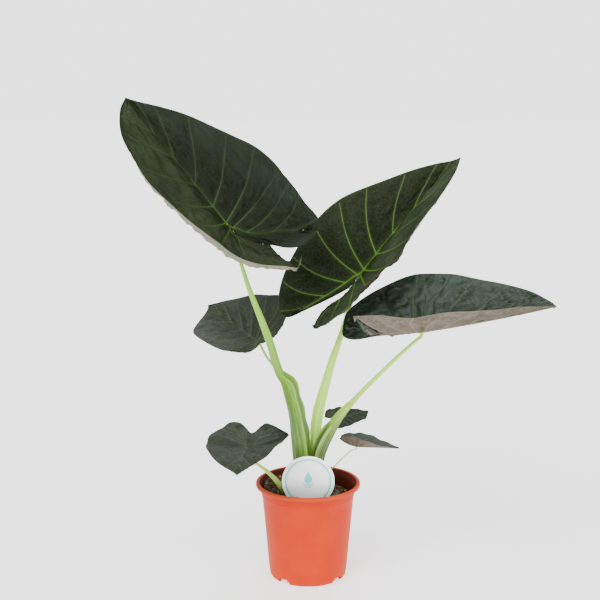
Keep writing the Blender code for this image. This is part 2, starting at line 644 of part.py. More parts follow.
def build_stalk(name, key, mat, sides=12, per_seg=3):
    """Loft of ellipses along the stalk; it stops just under the blade."""
    p = BLADES[key]
    _, _, up = blade_axes(p)
    pts = [list(q) for q in STALKS[key]]
    if pts[0][2] == 0.0:                       # this foot stands on the compost
        pts[0][2] = soil_z(pts[0][0], pts[0][1]) + GAP + 0.0012
    under = p.get("thick", LEAF_T) + 0.0009
    end = Vector(p["joint"]) - up * under
    w = pts[-1][3]
    lead = end - up * max(0.004, 2.2 * w)
    pts.append([*lead, w, w])
    pts.append([*end, w * 0.95, w * 0.95])
    line = catmull(pts, per_seg * (len(pts) - 1))
    line[0], line[-1] = tuple(pts[0]), tuple(pts[-1])
    n = len(line)
    bm = bmesh.new()
    loops = []
    for i, q in enumerate(line):
        c = Vector(q[:3])
        if i == 0:
            t = Vector((0, 0, 1))
        elif i == n - 1:
            t = up.copy()
        else:
            t = (Vector(line[i + 1][:3]) - Vector(line[i - 1][:3])).normalized()
        across = Vector((1, 0, 0)) - t * t.x
        if across.length < 0.2:
            across = Vector((0, 0, 1)) - t * t.z
        across.normalize()
        deep = t.cross(across)
        loop = []
        for k in range(sides):
            th = 2 * math.pi * k / sides
            loop.append(bm.verts.new(c + across * (q[3] * math.cos(th))
                                     + deep * (q[4] * math.sin(th))))
        loops.append(loop)
    for l0, l1 in zip(loops, loops[1:]):
        for k in range(sides):
            m = (k + 1) % sides
            bm.faces.new([l0[k], l0[m], l1[m], l1[k]])
    bm.faces.new(loops[0][::-1])
    bm.faces.new(loops[-1])
    bmesh.ops.recalc_face_normals(bm, faces=bm.faces)
    me = bpy.data.meshes.new(name)
    bm.to_mesh(me)
    bm.free()
    smooth(me, 0.9)
    return add(name, me, mat)


# ----------------------------------------------------------------- assembly
M_POT = material("terracotta_plastic", (0.72, 0.27, 0.15), 0.55)
M_SOIL = material("compost", (0.035, 0.022, 0.016), 0.95)
M_CORM = material("corm_skin", (0.16, 0.10, 0.06), 0.85)
M_LABEL = material("label_card", (0.90, 0.92, 0.92), 0.45)
M_STALK = material("leaf_stalk", (0.42, 0.55, 0.18), 0.45)
M_BLADE = material("leaf_blade", (0.045, 0.075, 0.04), 0.40)

build_pot(M_POT)
soil = build_soil(M_SOIL)
build_corm(M_CORM, soil)
build_label(M_LABEL, soil)

SIZES = {"upper_left": (6, 10, 4), "centre": (6, 10, 4), "right": (6, 10, 4),
         "middle_left": (5, 7, 3), "lower_left": (5, 7, 3), "small_back": (3, 5, 2),
         "small_right": (3, 5, 2), "sprout": (2, 4, 2)}
for key, (ribs, margin, rings) in SIZES.items():
    build_blade("blade_" + key, BLADES[key], M_BLADE, ribs, margin, rings)
    build_stalk("stalk_" + key, key, M_STALK,
                sides=8 if key in ("small_right", "small_back", "sprout") else 10,
                per_seg=2 if key in ("right", "centre", "upper_left") else 3)

for ob in list(COL.objects) + list(CUT.objects):
    ob.location.x += POT_AT[0]
    ob.location.y += POT_AT[1]
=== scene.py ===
"""Potted alocasia: detailed leaves, stalks, pot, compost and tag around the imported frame."""
import math

import bmesh
import bpy
import numpy as np
from mathutils import Matrix, Vector, noise


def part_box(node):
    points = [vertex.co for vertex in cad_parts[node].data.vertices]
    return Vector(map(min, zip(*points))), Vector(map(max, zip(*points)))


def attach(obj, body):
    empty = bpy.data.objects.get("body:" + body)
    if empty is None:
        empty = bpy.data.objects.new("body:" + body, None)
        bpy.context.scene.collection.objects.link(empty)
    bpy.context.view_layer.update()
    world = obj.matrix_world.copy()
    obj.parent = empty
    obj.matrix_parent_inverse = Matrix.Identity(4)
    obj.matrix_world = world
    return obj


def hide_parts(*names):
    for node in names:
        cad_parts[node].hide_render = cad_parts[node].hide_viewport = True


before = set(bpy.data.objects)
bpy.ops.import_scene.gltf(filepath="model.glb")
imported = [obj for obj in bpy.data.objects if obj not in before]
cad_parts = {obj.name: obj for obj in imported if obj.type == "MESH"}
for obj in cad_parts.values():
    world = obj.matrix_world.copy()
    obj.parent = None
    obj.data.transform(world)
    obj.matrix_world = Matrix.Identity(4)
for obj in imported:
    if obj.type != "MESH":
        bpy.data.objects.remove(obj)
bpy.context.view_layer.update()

pot_lo, pot_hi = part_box("pot")
AXIS = Vector(((pot_lo.x + pot_hi.x) / 2, (pot_lo.y + pot_hi.y) / 2, 0.0))
SCENE = bpy.context.scene
RNG = np.random.default_rng(7)

# ------------------------------------------------------------------- camera
cam_data = bpy.data.cameras.new("camera")
cam_data.lens = 76.9
cam_data.sensor_width = 36.0
cam = bpy.data.objects.new("camera", cam_data)
SCENE.collection.objects.link(cam)
cam.location = AXIS + Vector((-0.0131, -2.0, 0.847))
cam.rotation_euler = (math.radians(90 - 10.97), 0.0, 0.0)
SCENE.camera = cam


# --------------------------------------------------------------- node maker
class Nodes:
    """A material's node tree with short calls to add and link nodes."""

    def __init__(self, name, rough=0.5, spec=0.5):
        self.mat = bpy.data.materials.new(name)
        self.mat.use_nodes = True
        self.t = self.mat.node_tree
        self.b = self.t.nodes["Principled BSDF"]
        self.b.inputs["Roughness"].default_value = rough
        self.b.inputs["Specular IOR Level"].default_value = spec

    def node(self, kind, **props):
        n = self.t.nodes.new(kind)
        for k, v in props.items():
            setattr(n, k, v)
        return n

    def put(self, socket, value):
        if isinstance(value, bpy.types.NodeSocket):
            self.t.links.new(value, socket)
        elif isinstance(value, (tuple, list)) and len(value) == 3 and socket.type == "RGBA":
            socket.default_value = (*value, 1.0)
        else:
            socket.default_value = value

    def attr(self, name, out="Fac"):
        return self.node("ShaderNodeAttribute", attribute_name=name).outputs[out]

    def position(self):
        return self.node("ShaderNodeNewGeometry").outputs["Position"]

    def normal_z(self):
        n = self.node("ShaderNodeSeparateXYZ")
        self.put(n.inputs[0], self.node("ShaderNodeNewGeometry").outputs["Normal"])
        return n.outputs["Z"]

    def math(self, op, a, b=0.0, c=0.0, clamp=False):
        n = self.node("ShaderNodeMath", operation=op, use_clamp=clamp)
        for s, v in zip(n.inputs, (a, b, c)):
            self.put(s, v)
        return n.outputs[0]

    def step(self, x, lo, hi):
        """Smooth 0..1 as x goes from lo to hi."""
        n = self.node("ShaderNodeMapRange", interpolation_type="SMOOTHSTEP")
        for s, v in zip(n.inputs, (x, lo, hi, 0.0, 1.0)):
            self.put(s, v)
        return n.outputs[0]

    def scale(self, vector, xyz, at=(0, 0, 0), turn=(0, 0, 0)):
        n = self.node("ShaderNodeMapping")
        self.put(n.inputs["Vector"], vector)
        n.inputs["Scale"].default_value = xyz
        n.inputs["Location"].default_value = at
        n.inputs["Rotation"].default_value = turn
        return n.outputs[0]

    def noise(self, vector, scale, detail=3.0, rough=0.55, distort=0.0, out="Fac"):
        n = self.node("ShaderNodeTexNoise")
        self.put(n.inputs["Vector"], vector)
        n.inputs["Scale"].default_value = scale
        n.inputs["Detail"].default_value = detail
        n.inputs["Roughness"].default_value = rough
        n.inputs["Distortion"].default_value = distort
        return n.outputs[out]

    def voronoi(self, vector, scale, feature="F1", out="Distance", rand=1.0):
        n = self.node("ShaderNodeTexVoronoi", feature=feature)
        self.put(n.inputs["Vector"], vector)
        n.inputs["Scale"].default_value = scale
        n.inputs["Randomness"].default_value = rand
        return n.outputs[out]

    def mix(self, fac, a, b, blend="MIX"):
        n = self.node("ShaderNodeMix", data_type="RGBA", blend_type=blend)
        self.put(n.inputs[0], fac)
        self.put(n.inputs[6], a)
        self.put(n.inputs[7], b)
        return n.outputs[2]

    def ramp(self, fac, stops):
        n = self.node("ShaderNodeValToRGB")
        self.put(n.inputs[0], fac)
        el = n.color_ramp.elements
        while len(el) < len(stops):
            el.new(0.5)
        for e, (at, rgb) in zip(el, stops):
            e.position = at
            e.color = (*rgb, 1.0)
        return n.outputs[0]

    def color(self, value):
        self.put(self.b.inputs["Base Color"], value)

    def rough(self, value):
        self.put(self.b.inputs["Roughness"], value)

    def bump(self, height, distance, strength=1.0):
        n = self.node("ShaderNodeBump")
        n.inputs["Strength"].default_value = strength
        n.inputs["Distance"].default_value = distance
        self.put(n.inputs["Height"], height)
        self.t.links.new(n.outputs[0], self.b.inputs["Normal"])
        return n


# ---------------------------------------------------------------- materials
def leaf_top(name, dark, mid, sheen_grey, vein, vein_far, vein_soft=1.0, net=0.5, spec=0.2, lit_halves=()):
    """Upper side: near-black green with a painted grey sheen, lighter veins and net.

    Each entry of the last argument, (side, colour, amount, from, to), paints light and sheen: one half of the blade
    is made paler, as if lit, growing from one place to another between midrib and margin.
    """
    g = Nodes(name, spec=spec)
    flat = g.attr("flat", "Vector")
    vd = g.attr("vein")
    lead = g.attr("lead")                      # 1 at the joint, 0 far from it
    big = g.noise(flat, 26.0, 3.0, 0.6, 0.4)
    small = g.noise(flat, 210.0, 4.0, 0.65)
    col = g.mix(g.step(big, 0.32, 0.68), dark, mid)
    # painted sheen: grey patches mixed into the dark green
    col = g.mix(g.math("MULTIPLY", g.step(g.noise(flat, 9.0, 2.0), 0.42, 0.7), 0.55), col, sheen_grey)
    across = g.node("ShaderNodeSeparateXYZ")
    g.put(across.inputs[0], flat)
    # painted light and sheen: a paler, lit half of the blade in noisy patches
    for side, tint, amount, lo, hi in lit_halves:
        mask = g.step(g.math("MULTIPLY", across.outputs["X"], float(side)), -0.001, 0.005)
        mask = g.math("MULTIPLY", mask, g.step(g.attr("edge"), lo, hi))
        sheen_patch = g.math("MULTIPLY_ADD", g.step(g.noise(flat, 16.0, 2.0, 0.5), 0.35, 0.65), 0.5, 0.5)
        col = g.mix(g.math("MULTIPLY", g.math("MULTIPLY", mask, sheen_patch), amount), col, tint)
    # the fine net of small veins between the side veins
    bent = g.node("ShaderNodeVectorMath", operation="ADD")
    g.put(bent.inputs[0], flat)
    shift = g.node("ShaderNodeVectorMath", operation="SCALE")
    g.put(shift.inputs[0], g.noise(flat, 60.0, 2.0, out="Color"))
    shift.inputs["Scale"].default_value = 0.006
    g.put(bent.inputs[1], shift.outputs[0])
    cells = g.voronoi(bent.outputs[0], 150.0, "DISTANCE_TO_EDGE")
    net_mask = g.math("SUBTRACT", 1.0, g.step(cells, 0.02, 0.10))
    cells2 = g.voronoi(bent.outputs[0], 430.0, "DISTANCE_TO_EDGE")
    net2 = g.math("SUBTRACT", 1.0, g.step(cells2, 0.02, 0.12))
    col = g.mix(g.math("MULTIPLY", net_mask, net * 0.5), col, vein_far)
    col = g.mix(g.math("MULTIPLY", net2, net * 0.18), col, vein_far)
    # painted sheen: a fine grey speckle
    col = g.mix(g.math("MULTIPLY", g.step(small, 0.5, 0.8), 0.25), col, sheen_grey)
    halo = g.math("SUBTRACT", 1.0, g.step(vd, 1.2, 6.0))
    col = g.mix(g.math("MULTIPLY", halo, 0.22), col, vein_far)
    line = g.math("SUBTRACT", 1.0, g.step(vd, 0.55, 1.25))
    strong = g.mix(g.step(lead, 0.0, 1.0), vein_far, vein)
    col = g.mix(g.math("MULTIPLY", line, vein_soft), col, strong)
    rim = g.step(g.attr("edge"), 0.972, 0.998)
    col = g.mix(g.math("MULTIPLY", rim, 0.55), col, vein_far)
    g.color(col)
    r = g.math("MULTIPLY_ADD", big, 0.16, 0.36)
    g.rough(g.math("ADD", r, g.math("MULTIPLY", small, 0.10)))
    h = g.math("MULTIPLY_ADD", net_mask, -0.5, g.math("MULTIPLY", small, 0.5))
    h = g.math("MULTIPLY_ADD", net2, -0.2, h)
    g.bump(h, 0.0005, 0.55)
    return g.mat


def leaf_under(name, base, warm, vein):
    """Underside: dull grey brown with raised paler veins."""
    g = Nodes(name, spec=0.35)
    flat = g.attr("flat", "Vector")
    vd = g.attr("vein")
    big = g.noise(flat, 30.0, 3.0, 0.6, 0.3)
    small = g.noise(flat, 260.0, 4.0, 0.65)
    col = g.mix(g.step(big, 0.35, 0.68), base, warm)
    cells = g.voronoi(flat, 170.0, "DISTANCE_TO_EDGE")
    net_mask = g.math("SUBTRACT", 1.0, g.step(cells, 0.02, 0.11))
    col = g.mix(g.math("MULTIPLY", net_mask, 0.30), col, vein)
    col = g.mix(g.math("MULTIPLY", g.step(small, 0.45, 0.8), 0.25), col, vein)
    line = g.math("SUBTRACT", 1.0, g.step(vd, 0.6, 1.7))
    col = g.mix(g.math("MULTIPLY", line, 0.75), col, vein)
    g.color(col)
    g.rough(g.math("MULTIPLY_ADD", small, 0.15, 0.50))
    g.bump(g.math("ADD", net_mask, small), 0.0004, 0.5)
    return g.mat


def stalk_skin(name, low, high, pale, low_z, high_z):
    """Fleshy stalk: lengthwise streaks, darker towards the foot."""
    g = Nodes(name, spec=0.5)
    along = g.attr("along", "Vector")
    pos = g.position()
    sep = g.node("ShaderNodeSeparateXYZ")
    g.put(sep.inputs[0], pos)
    t = g.step(sep.outputs["Z"], low_z, high_z)
    col = g.mix(t, low, high)
    streak = g.noise(g.scale(along, (520.0, 14.0, 520.0)), 1.0, 3.0, 0.6)
    blot = g.noise(g.scale(along, (60.0, 18.0, 60.0)), 1.0, 3.0, 0.6)
    col = g.mix(g.math("MULTIPLY", g.step(streak, 0.40, 0.72), 0.42), col, pale)
    col = g.mix(g.math("MULTIPLY", g.step(blot, 0.5, 0.75), 0.28), col, low)
    # painted shade: the channel up the inner face is darkened
    col = g.mix(g.math("MULTIPLY", g.attr("groove_shade"), 0.65), col, low)
    col = g.mix(g.math("MULTIPLY", g.attr("wing"), 0.50), col, pale)
    speck = g.noise(pos, 900.0, 2.0, 0.5)
    col = g.mix(g.math("MULTIPLY", g.step(speck, 0.66, 0.8), 0.25), col, low)
    g.color(col)
    g.rough(g.math("MULTIPLY_ADD", blot, 0.20, 0.34))
    g.bump(g.math("MULTIPLY_ADD", speck, 0.2, streak), 0.0004, 0.5)
    return g.mat


def pot_plastic():
    g = Nodes("terracotta_plastic", spec=0.1)
    pos = g.position()
    sep = g.node("ShaderNodeSeparateXYZ")
    g.put(sep.inputs[0], pos)
    big = g.noise(pos, 22.0, 3.0, 0.6)
    grain = g.noise(pos, 900.0, 4.0, 0.7)
    rings = g.noise(g.scale(pos, (6.0, 6.0, 900.0)), 1.0, 3.0, 0.6)
    col = g.mix(g.step(big, 0.3, 0.7), (0.47, 0.024, 0.0005), (0.52, 0.030, 0.001))
    col = g.mix(g.math("MULTIPLY", g.step(grain, 0.45, 0.8), 0.30), col, (0.58, 0.060, 0.010))
    col = g.mix(g.math("MULTIPLY", g.step(rings, 0.5, 0.75), 0.16), col, (0.39, 0.018, 0.0005))
    # painted shade: the rim band above the lip is duller and darker in red
    rim = g.step(sep.outputs["Z"], 0.1505, 0.1525)
    col = g.mix(g.math("MULTIPLY", rim, 0.40), col, (0.38, 0.070, 0.024))
    scuff = g.math("MULTIPLY", g.step(g.noise(g.scale(pos, (60.0, 60.0, 300.0)), 1.0, 4.0, 0.75), 0.62, 0.78), 0.22)
    col = g.mix(scuff, col, (0.66, 0.10, 0.035))
    # painted shade: the inside of the wall darkened almost to black-red; soil dust in patches on it, and a dusty
    # tone at the foot
    inner = g.attr("inner")
    col = g.mix(g.math("MULTIPLY", inner, 0.93), col, (0.055, 0.008, 0.003))
    dirt = g.math("MULTIPLY", inner, g.step(g.noise(pos, 260.0, 4.0, 0.7), 0.50, 0.64))
    col = g.mix(dirt, col, (0.03, 0.017, 0.010))
    foot = g.math("SUBTRACT", 1.0, g.step(sep.outputs["Z"], 0.0, 0.012))
    col = g.mix(g.math("MULTIPLY", foot, 0.30), col, (0.50, 0.04, 0.006))
    g.color(col)
    g.rough(g.math("MULTIPLY_ADD", grain, 0.16, 0.42))
    g.bump(g.math("MULTIPLY_ADD", rings, 0.7, grain), 0.00025, 0.45)
    return g.mat


def compost():
    g = Nodes("compost", rough=0.95, spec=0.2)
    pos = g.position()
    fine = g.noise(pos, 420.0, 5.0, 0.7)
    col = g.ramp(fine, [(0.30, (0.014, 0.010, 0.005)), (0.52, (0.062, 0.048, 0.018)),
                        (0.72, (0.150, 0.120, 0.045))])
    speck = g.step(g.voronoi(pos, 380.0), 0.10, 0.06)
    col = g.mix(g.math("MULTIPLY", speck, 0.5), col, (0.13, 0.09, 0.055))
    g.color(col)
    g.bump(fine, 0.0015, 0.9)
    return g.mat


def chip_bark():
    """Compost crumbs, bark, roots and grit: each bit carries its own tone."""
    g = Nodes("compost_bits", rough=0.9, spec=0.25)
    pos = g.position()
    tone = g.attr("tone")
    fine = g.noise(pos, 700.0, 4.0, 0.7)
    col = g.ramp(tone, [(0.0, (0.014, 0.010, 0.005)), (0.40, (0.052, 0.044, 0.016)),
                        (0.62, (0.150, 0.050, 0.018)), (0.78, (0.34, 0.180, 0.060)),
                        (0.86, (0.070, 0.085, 0.075)), (0.93, (0.36, 0.36, 0.30)),
                        (1.0, (0.80, 0.62, 0.42))])
    col = g.mix(g.math("MULTIPLY", g.step(fine, 0.35, 0.7), 0.45), col, (0.010, 0.007, 0.005))
    g.color(col)
    g.bump(fine, 0.0006, 0.8)
    return g.mat


def corm_skin():
    g = Nodes("corm_skin", rough=0.8, spec=0.3)
    pos = g.position()
    rings = g.noise(g.scale(pos, (90.0, 90.0, 520.0)), 1.0, 4.0, 0.65)
    hair = g.noise(g.scale(pos, (700.0, 700.0, 60.0)), 1.0, 3.0, 0.6)
    col = g.ramp(rings, [(0.3, (0.030, 0.017, 0.010)), (0.5, (0.115, 0.066, 0.033)),
                         (0.72, (0.22, 0.15, 0.075))])
    col = g.mix(g.math("MULTIPLY", g.step(hair, 0.5, 0.7), 0.4), col, (0.045, 0.026, 0.014))
    g.color(col)
    g.bump(g.math("ADD", rings, hair), 0.0012, 0.8)
    return g.mat


def tag_print():
    """White card printed with a plain teal ring, a drop and a few care bars."""
    g = Nodes("tag_card", spec=0.45)
    p = g.attr("card", "Vector")               # across, up from the disc's centre
    sep = g.node("ShaderNodeSeparateXYZ")
    g.put(sep.inputs[0], p)
    x, y = sep.outputs["X"], sep.outputs["Y"]
    front = sep.outputs["Z"]
    r = g.math("SQRT", g.math("ADD", g.math("MULTIPLY", x, x), g.math("MULTIPLY", y, y)))

    def band(v, lo, hi, soft=0.00025):
        return g.math("MULTIPLY", g.step(v, lo - soft, lo + soft),
                      g.math("SUBTRACT", 1.0, g.step(v, hi - soft, hi + soft)))

    pos = g.position()
    paper = g.noise(pos, 1100.0, 3.0, 0.6)
    white = g.mix(paper, (0.93, 0.96, 0.96), (0.96, 0.98, 0.98))
    col = g.mix(g.math("MULTIPLY", band(r, 0.0350, 0.0372), front), white, (0.10, 0.55, 0.50))
    col = g.mix(g.math("MULTIPLY", band(r, 0.0330, 0.0336), front), col, (0.35, 0.74, 0.68))
    # water drop: a round foot with a pointed top
    dy = g.math("SUBTRACT", y, 0.006)
    taper = g.math("MULTIPLY_ADD", dy, -0.52, 0.0062)
    low = g.math("SQRT", g.math("MAXIMUM", g.math("SUBTRACT", 0.0000436,
                 g.math("MULTIPLY", g.math("ADD", dy, 0.0030), g.math("ADD", dy, 0.0030))), 0.0))
    half = g.math("MINIMUM", taper, g.math("ADD", low, g.math("MULTIPLY", g.step(dy, -0.001, 0.001), 1.0)))
    ax = g.math("ABSOLUTE", x)
    drop = g.math("MULTIPLY", g.step(g.math("SUBTRACT", half, ax), 0.0, 0.0005),
                  g.step(half, 0.0, 0.0004))
    col = g.mix(g.math("MULTIPLY", drop, front), col, (0.13, 0.58, 0.62))
    # three care bars under the drop
    bars = 0.0
    for lo, hi, wide in ((-0.0052, -0.0042, 0.0085), (-0.0078, -0.0068, 0.0070), (-0.0104, -0.0094, 0.0050)):
        one = g.math("MULTIPLY", band(y, lo, hi), g.math("SUBTRACT", 1.0, g.step(ax, wide - 0.0003, wide)))
        bars = g.math("MAXIMUM", bars, one)
    col = g.mix(g.math("MULTIPLY", bars, front), col, (0.16, 0.36, 0.40))
    g.color(col)
    g.rough(g.math("MULTIPLY_ADD", paper, 0.12, 0.30))
    g.bump(paper, 0.0001, 0.3)
    return g.mat


# ------------------------------------------------------------ mesh helpers
def make(name, verts, faces, mats, face_mat=None, attrs=None):
    me = bpy.data.meshes.new(name)
    me.from_pydata([tuple(v) for v in verts], [], faces)
    for m in mats:
        me.materials.append(m)
    if face_mat is not None:
        me.polygons.foreach_set("material_index", np.asarray(face_mat, np.int32))
    for key, values in (attrs or {}).items():
        values = np.asarray(values, np.float32)
        kind = "FLOAT_VECTOR" if values.ndim == 2 else "FLOAT"
        at = me.attributes.new(key, kind, "POINT")
        at.data.foreach_set("vector" if values.ndim == 2 else "value", values.ravel())
    me.shade_smooth()
    me.update()
    ob = bpy.data.objects.new(name, me)
    SCENE.collection.objects.link(ob)
    return ob


def settle(ob, slot, *nodes):
    ob.location = AXIS
    bpy.context.view_layer.update()
    ob.data.transform(ob.matrix_world)
    ob.matrix_world = Matrix.Identity(4)
    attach(ob, "root")
    if nodes:
        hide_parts(*nodes)
    return ob


def catmull(points, n):
    ps = np.array(points, float)
    ext = np.vstack([2 * ps[0] - ps[1], ps, 2 * ps[-1] - ps[-2]])
    seg = np.linalg.norm(np.diff(ps[:, :3], axis=0), axis=1)
    cum = np.concatenate([[0], np.cumsum(seg)])
    s = np.linspace(0, cum[-1], n + 1)
    i = np.clip(np.searchsorted(cum, s, side="right") - 1, 0, len(seg) - 1)
    t = ((s - cum[i]) / seg[i])[:, None]
    p0, p1, p2, p3 = ext[i], ext[i + 1], ext[i + 2], ext[i + 3]
    out = 0.5 * (2 * p1 + (p2 - p0) * t + (2 * p0 - 5 * p1 + 4 * p2 - p3) * t ** 2
                 + (-p0 + 3 * p1 - 3 * p2 + p3) * t ** 3)
    return out, s


# -------------------------------------------------------------------- blade
OUTLINE = np.array([(0.00, 0.000, -0.136), (0.10, 0.045, -0.30), (0.18, 0.10, -0.45),
                    (0.25, 0.165, -0.55), (0.30, 0.235, -0.565), (0.37, 0.33, -0.48),
                    (0.45, 0.415, -0.31), (0.52, 0.455, -0.12), (0.60, 0.467, 0.09),
                    (0.68, 0.437, 0.255), (0.76, 0.367, 0.417), (0.84, 0.264, 0.633),
                    (0.92, 0.137, 0.84), (0.97, 0.04, 0.955), (1.00, 0.0, 1.0)])
LOBE_TURN = 0.27
# where each line across the blade leaves the ribs: (place on the margin, station)
LEAVE = np.array([(0.27, -0.44), (0.31, -0.41), (0.41, -0.28), (0.48, -0.12), (0.58, -0.03),
                  (0.64, 0.0), (0.69, 0.02), (0.775, 0.15), (0.86, 0.32), (0.93, 0.53),
                  (0.965, 0.72), (1.0, 1.0)])
SIDE_VEINS = (0.31, 0.41, 0.48, 0.58, 0.69, 0.775, 0.86, 0.93, 0.965)


def outline_of(p, side):
    table = OUTLINE.copy()
    for i, xy in p["own_r" if side > 0 else "own_l"].items():
        table[i, 1:] = xy
    return table


def hermite(table, t, col):
    k, v = table[:, 0], table[:, col]
    m = np.empty_like(v)
    m[1:-1] = (v[2:] - v[:-2]) / (k[2:] - k[:-2])
    m[0] = (v[1] - v[0]) / (k[1] - k[0])
    m[-1] = (v[-1] - v[-2]) / (k[-1] - k[-2])
    i = np.clip(np.searchsorted(k, t, side="left") - 1, 0, len(k) - 2)
    h = k[i + 1] - k[i]
    s = (t - k[i]) / h
    return ((2 * s ** 3 - 3 * s ** 2 + 1) * v[i] + (s ** 3 - 2 * s ** 2 + s) * h * m[i]
            + (-2 * s ** 3 + 3 * s ** 2) * v[i + 1] + (s ** 3 - s ** 2) * h * m[i + 1])


def rib(t):
    return (0.02 + 0.115 * t ** 1.3) * np.minimum(1.0, t * 8), -0.44 * t


def inner_line(a):
    y = np.where(a < LOBE_TURN, -0.44 * a / LOBE_TURN, np.interp(a, LEAVE[:, 0], LEAVE[:, 1]))
    t = np.clip(-y / 0.44, 0, 1)
    return np.where(y < 0, rib(t)[0], 0.0), y


def fuller(y, p):
    return 1 + p["full"] * np.exp(-((y - 0.68) / 0.26) ** 2) * np.clip((1 - y) * 6, 0, 1)


def planform(a, b, side, p):
    s = "_r" if side > 0 else "_l"
    table = outline_of(p, side)
    ix, iy = inner_line(a)
    ox, oy = hermite(table, a, 1), hermite(table, a, 2)
    x, y = ix + (ox - ix) * b, iy + (oy - iy) * b
    span = np.clip((a - LOBE_TURN) / (1 - LOBE_TURN), 0, 1)
    y = y - 0.036 * np.clip(np.sin(math.pi * span) * 1.6, 0, 1) * np.sin(math.pi * b)
    x = x * fuller(y, p)
    y = np.where(y < 0, y * p["lobe" + s], y)
    return x * p["wide" + s], y


def half_width(y, side, p):
    s = "_r" if side > 0 else "_l"
    a = np.linspace(LOBE_TURN, 1, 200)
    table = outline_of(p, side)
    yy = hermite(table, a, 2)
    ww = hermite(table, a, 1) * p["wide" + s] * fuller(yy, p)
    yy = np.where(yy < 0, yy * p["lobe" + s], yy)
    order = np.argsort(yy)
    return np.maximum(np.interp(y, yy[order], ww[order]), 0.03)


def midrib(y, p):
    n = 40
    steps = (np.arange(n) + 0.5) / n
    s = y[:, None] * steps
    tau = np.where(y[:, None] >= 0, -(p["arch"] * s + p["nod"] * s * s), p["rear"] * s)
    yy = (np.cos(tau).sum(1)) * y / n
    up = (np.sin(tau).sum(1)) * y / n
    return yy, up, np.where(y >= 0, -(p["arch"] * y + p["nod"] * y * y), p["rear"] * y)


def shaped(x, y, side, p):
    s = "_r" if side > 0 else "_l"
    my, mz, tau = midrib(y, p)
    yp, yn = np.maximum(y, 0), np.maximum(-y, 0)
    yn = yn * yn / (yn + 0.08)
    fold = np.radians(p["fold" + s] + p["fold_tip" + s] * yp + p["fold_lobe" + s] * yn)
    w = half_width(y, side, p)
    px, pz = np.zeros_like(x), np.zeros_like(x)
    n = 14
    for i in range(n):
        u = x * (i + 0.5) / n
        al = fold + p["curl" + s] * u + p["roll" + s] * np.minimum(u / w, 1.2) ** 5
        px += np.cos(al) * x / n
        pz += np.sin(al) * x / n
    rel = np.clip(x / w, 0, 1.2)
    for at, wide, rise in p["wave" + s]:
        pz += rise * rel ** 2 * np.exp(-((y - at) / wide) ** 2)
    pz += p["ruffle"] * rel ** 3 * np.sin(2 * math.pi * (p["beats"] * y) + p["phase"] + (0 if side > 0 else 1.7))
    px = px * side
    X, Y, Z = px, my - np.sin(tau) * pz, mz + np.cos(tau) * pz
    t = np.clip((0.12 - y) / 0.5, 0, 1)
    g = np.radians(p["swing"] + p["swing" + s] * np.clip(x / 0.08, 0, 1)) * t * t * (3 - 2 * t)
    return np.stack([X * np.cos(g) - Y * np.sin(g), X * np.sin(g) + Y * np.cos(g), Z], 1)


def blade_axes(p):
    ps, ep, ro = (math.radians(p[k]) for k in ("heading", "rise", "bank"))
    ahead = Vector((math.cos(ep) * math.cos(ps), math.cos(ep) * math.sin(ps), math.sin(ep)))
    up0 = Vector((-math.sin(ep) * math.cos(ps), -math.sin(ep) * math.sin(ps), math.cos(ep)))
    right0 = ahead.cross(up0)
    up = math.cos(ro) * up0 + math.sin(ro) * right0
    right = math.cos(ro) * right0 - math.sin(ro) * up0
    return right, ahead, up


def stations(fine):
    """Lines across the blade, closest together beside each side vein."""
    marks = [LOBE_TURN, *SIDE_VEINS, 1.0]
    if fine > 1:
        sub = [0, .035, .09, .17, .27, .38, .5, .62, .73, .83, .91, .965]
    else:
        sub = [0, .06, .2, .4, .6, .8, .94]
    out = [0.64]
    for lo, hi in zip(marks, marks[1:]):
        out += [lo + (hi - lo) * s for s in sub]
    out = sorted(out + [1.0])
    keep = [out[0]]
    for a in out[1:]:
        if a - keep[-1] < 1e-4:
            continue
        keep.append(a)
    return np.array(keep)


def to_polyline(P, line):
    """Distance of each flat point to a flat polyline, and the place along it."""
    best = np.full(len(P), 1e9)
    place = np.zeros(len(P))
    n = len(line) - 1
    for i in range(n):
        a, b = line[i], line[i + 1]
        d = b - a
        t = np.clip(((P - a) @ d) / max(d @ d, 1e-12), 0, 1)
        dist = np.linalg.norm(P - (a + t[:, None] * d), axis=1)
        better = dist < best
        best[better] = dist[better]
        place[better] = (i + t[better]) / n
    return best, place


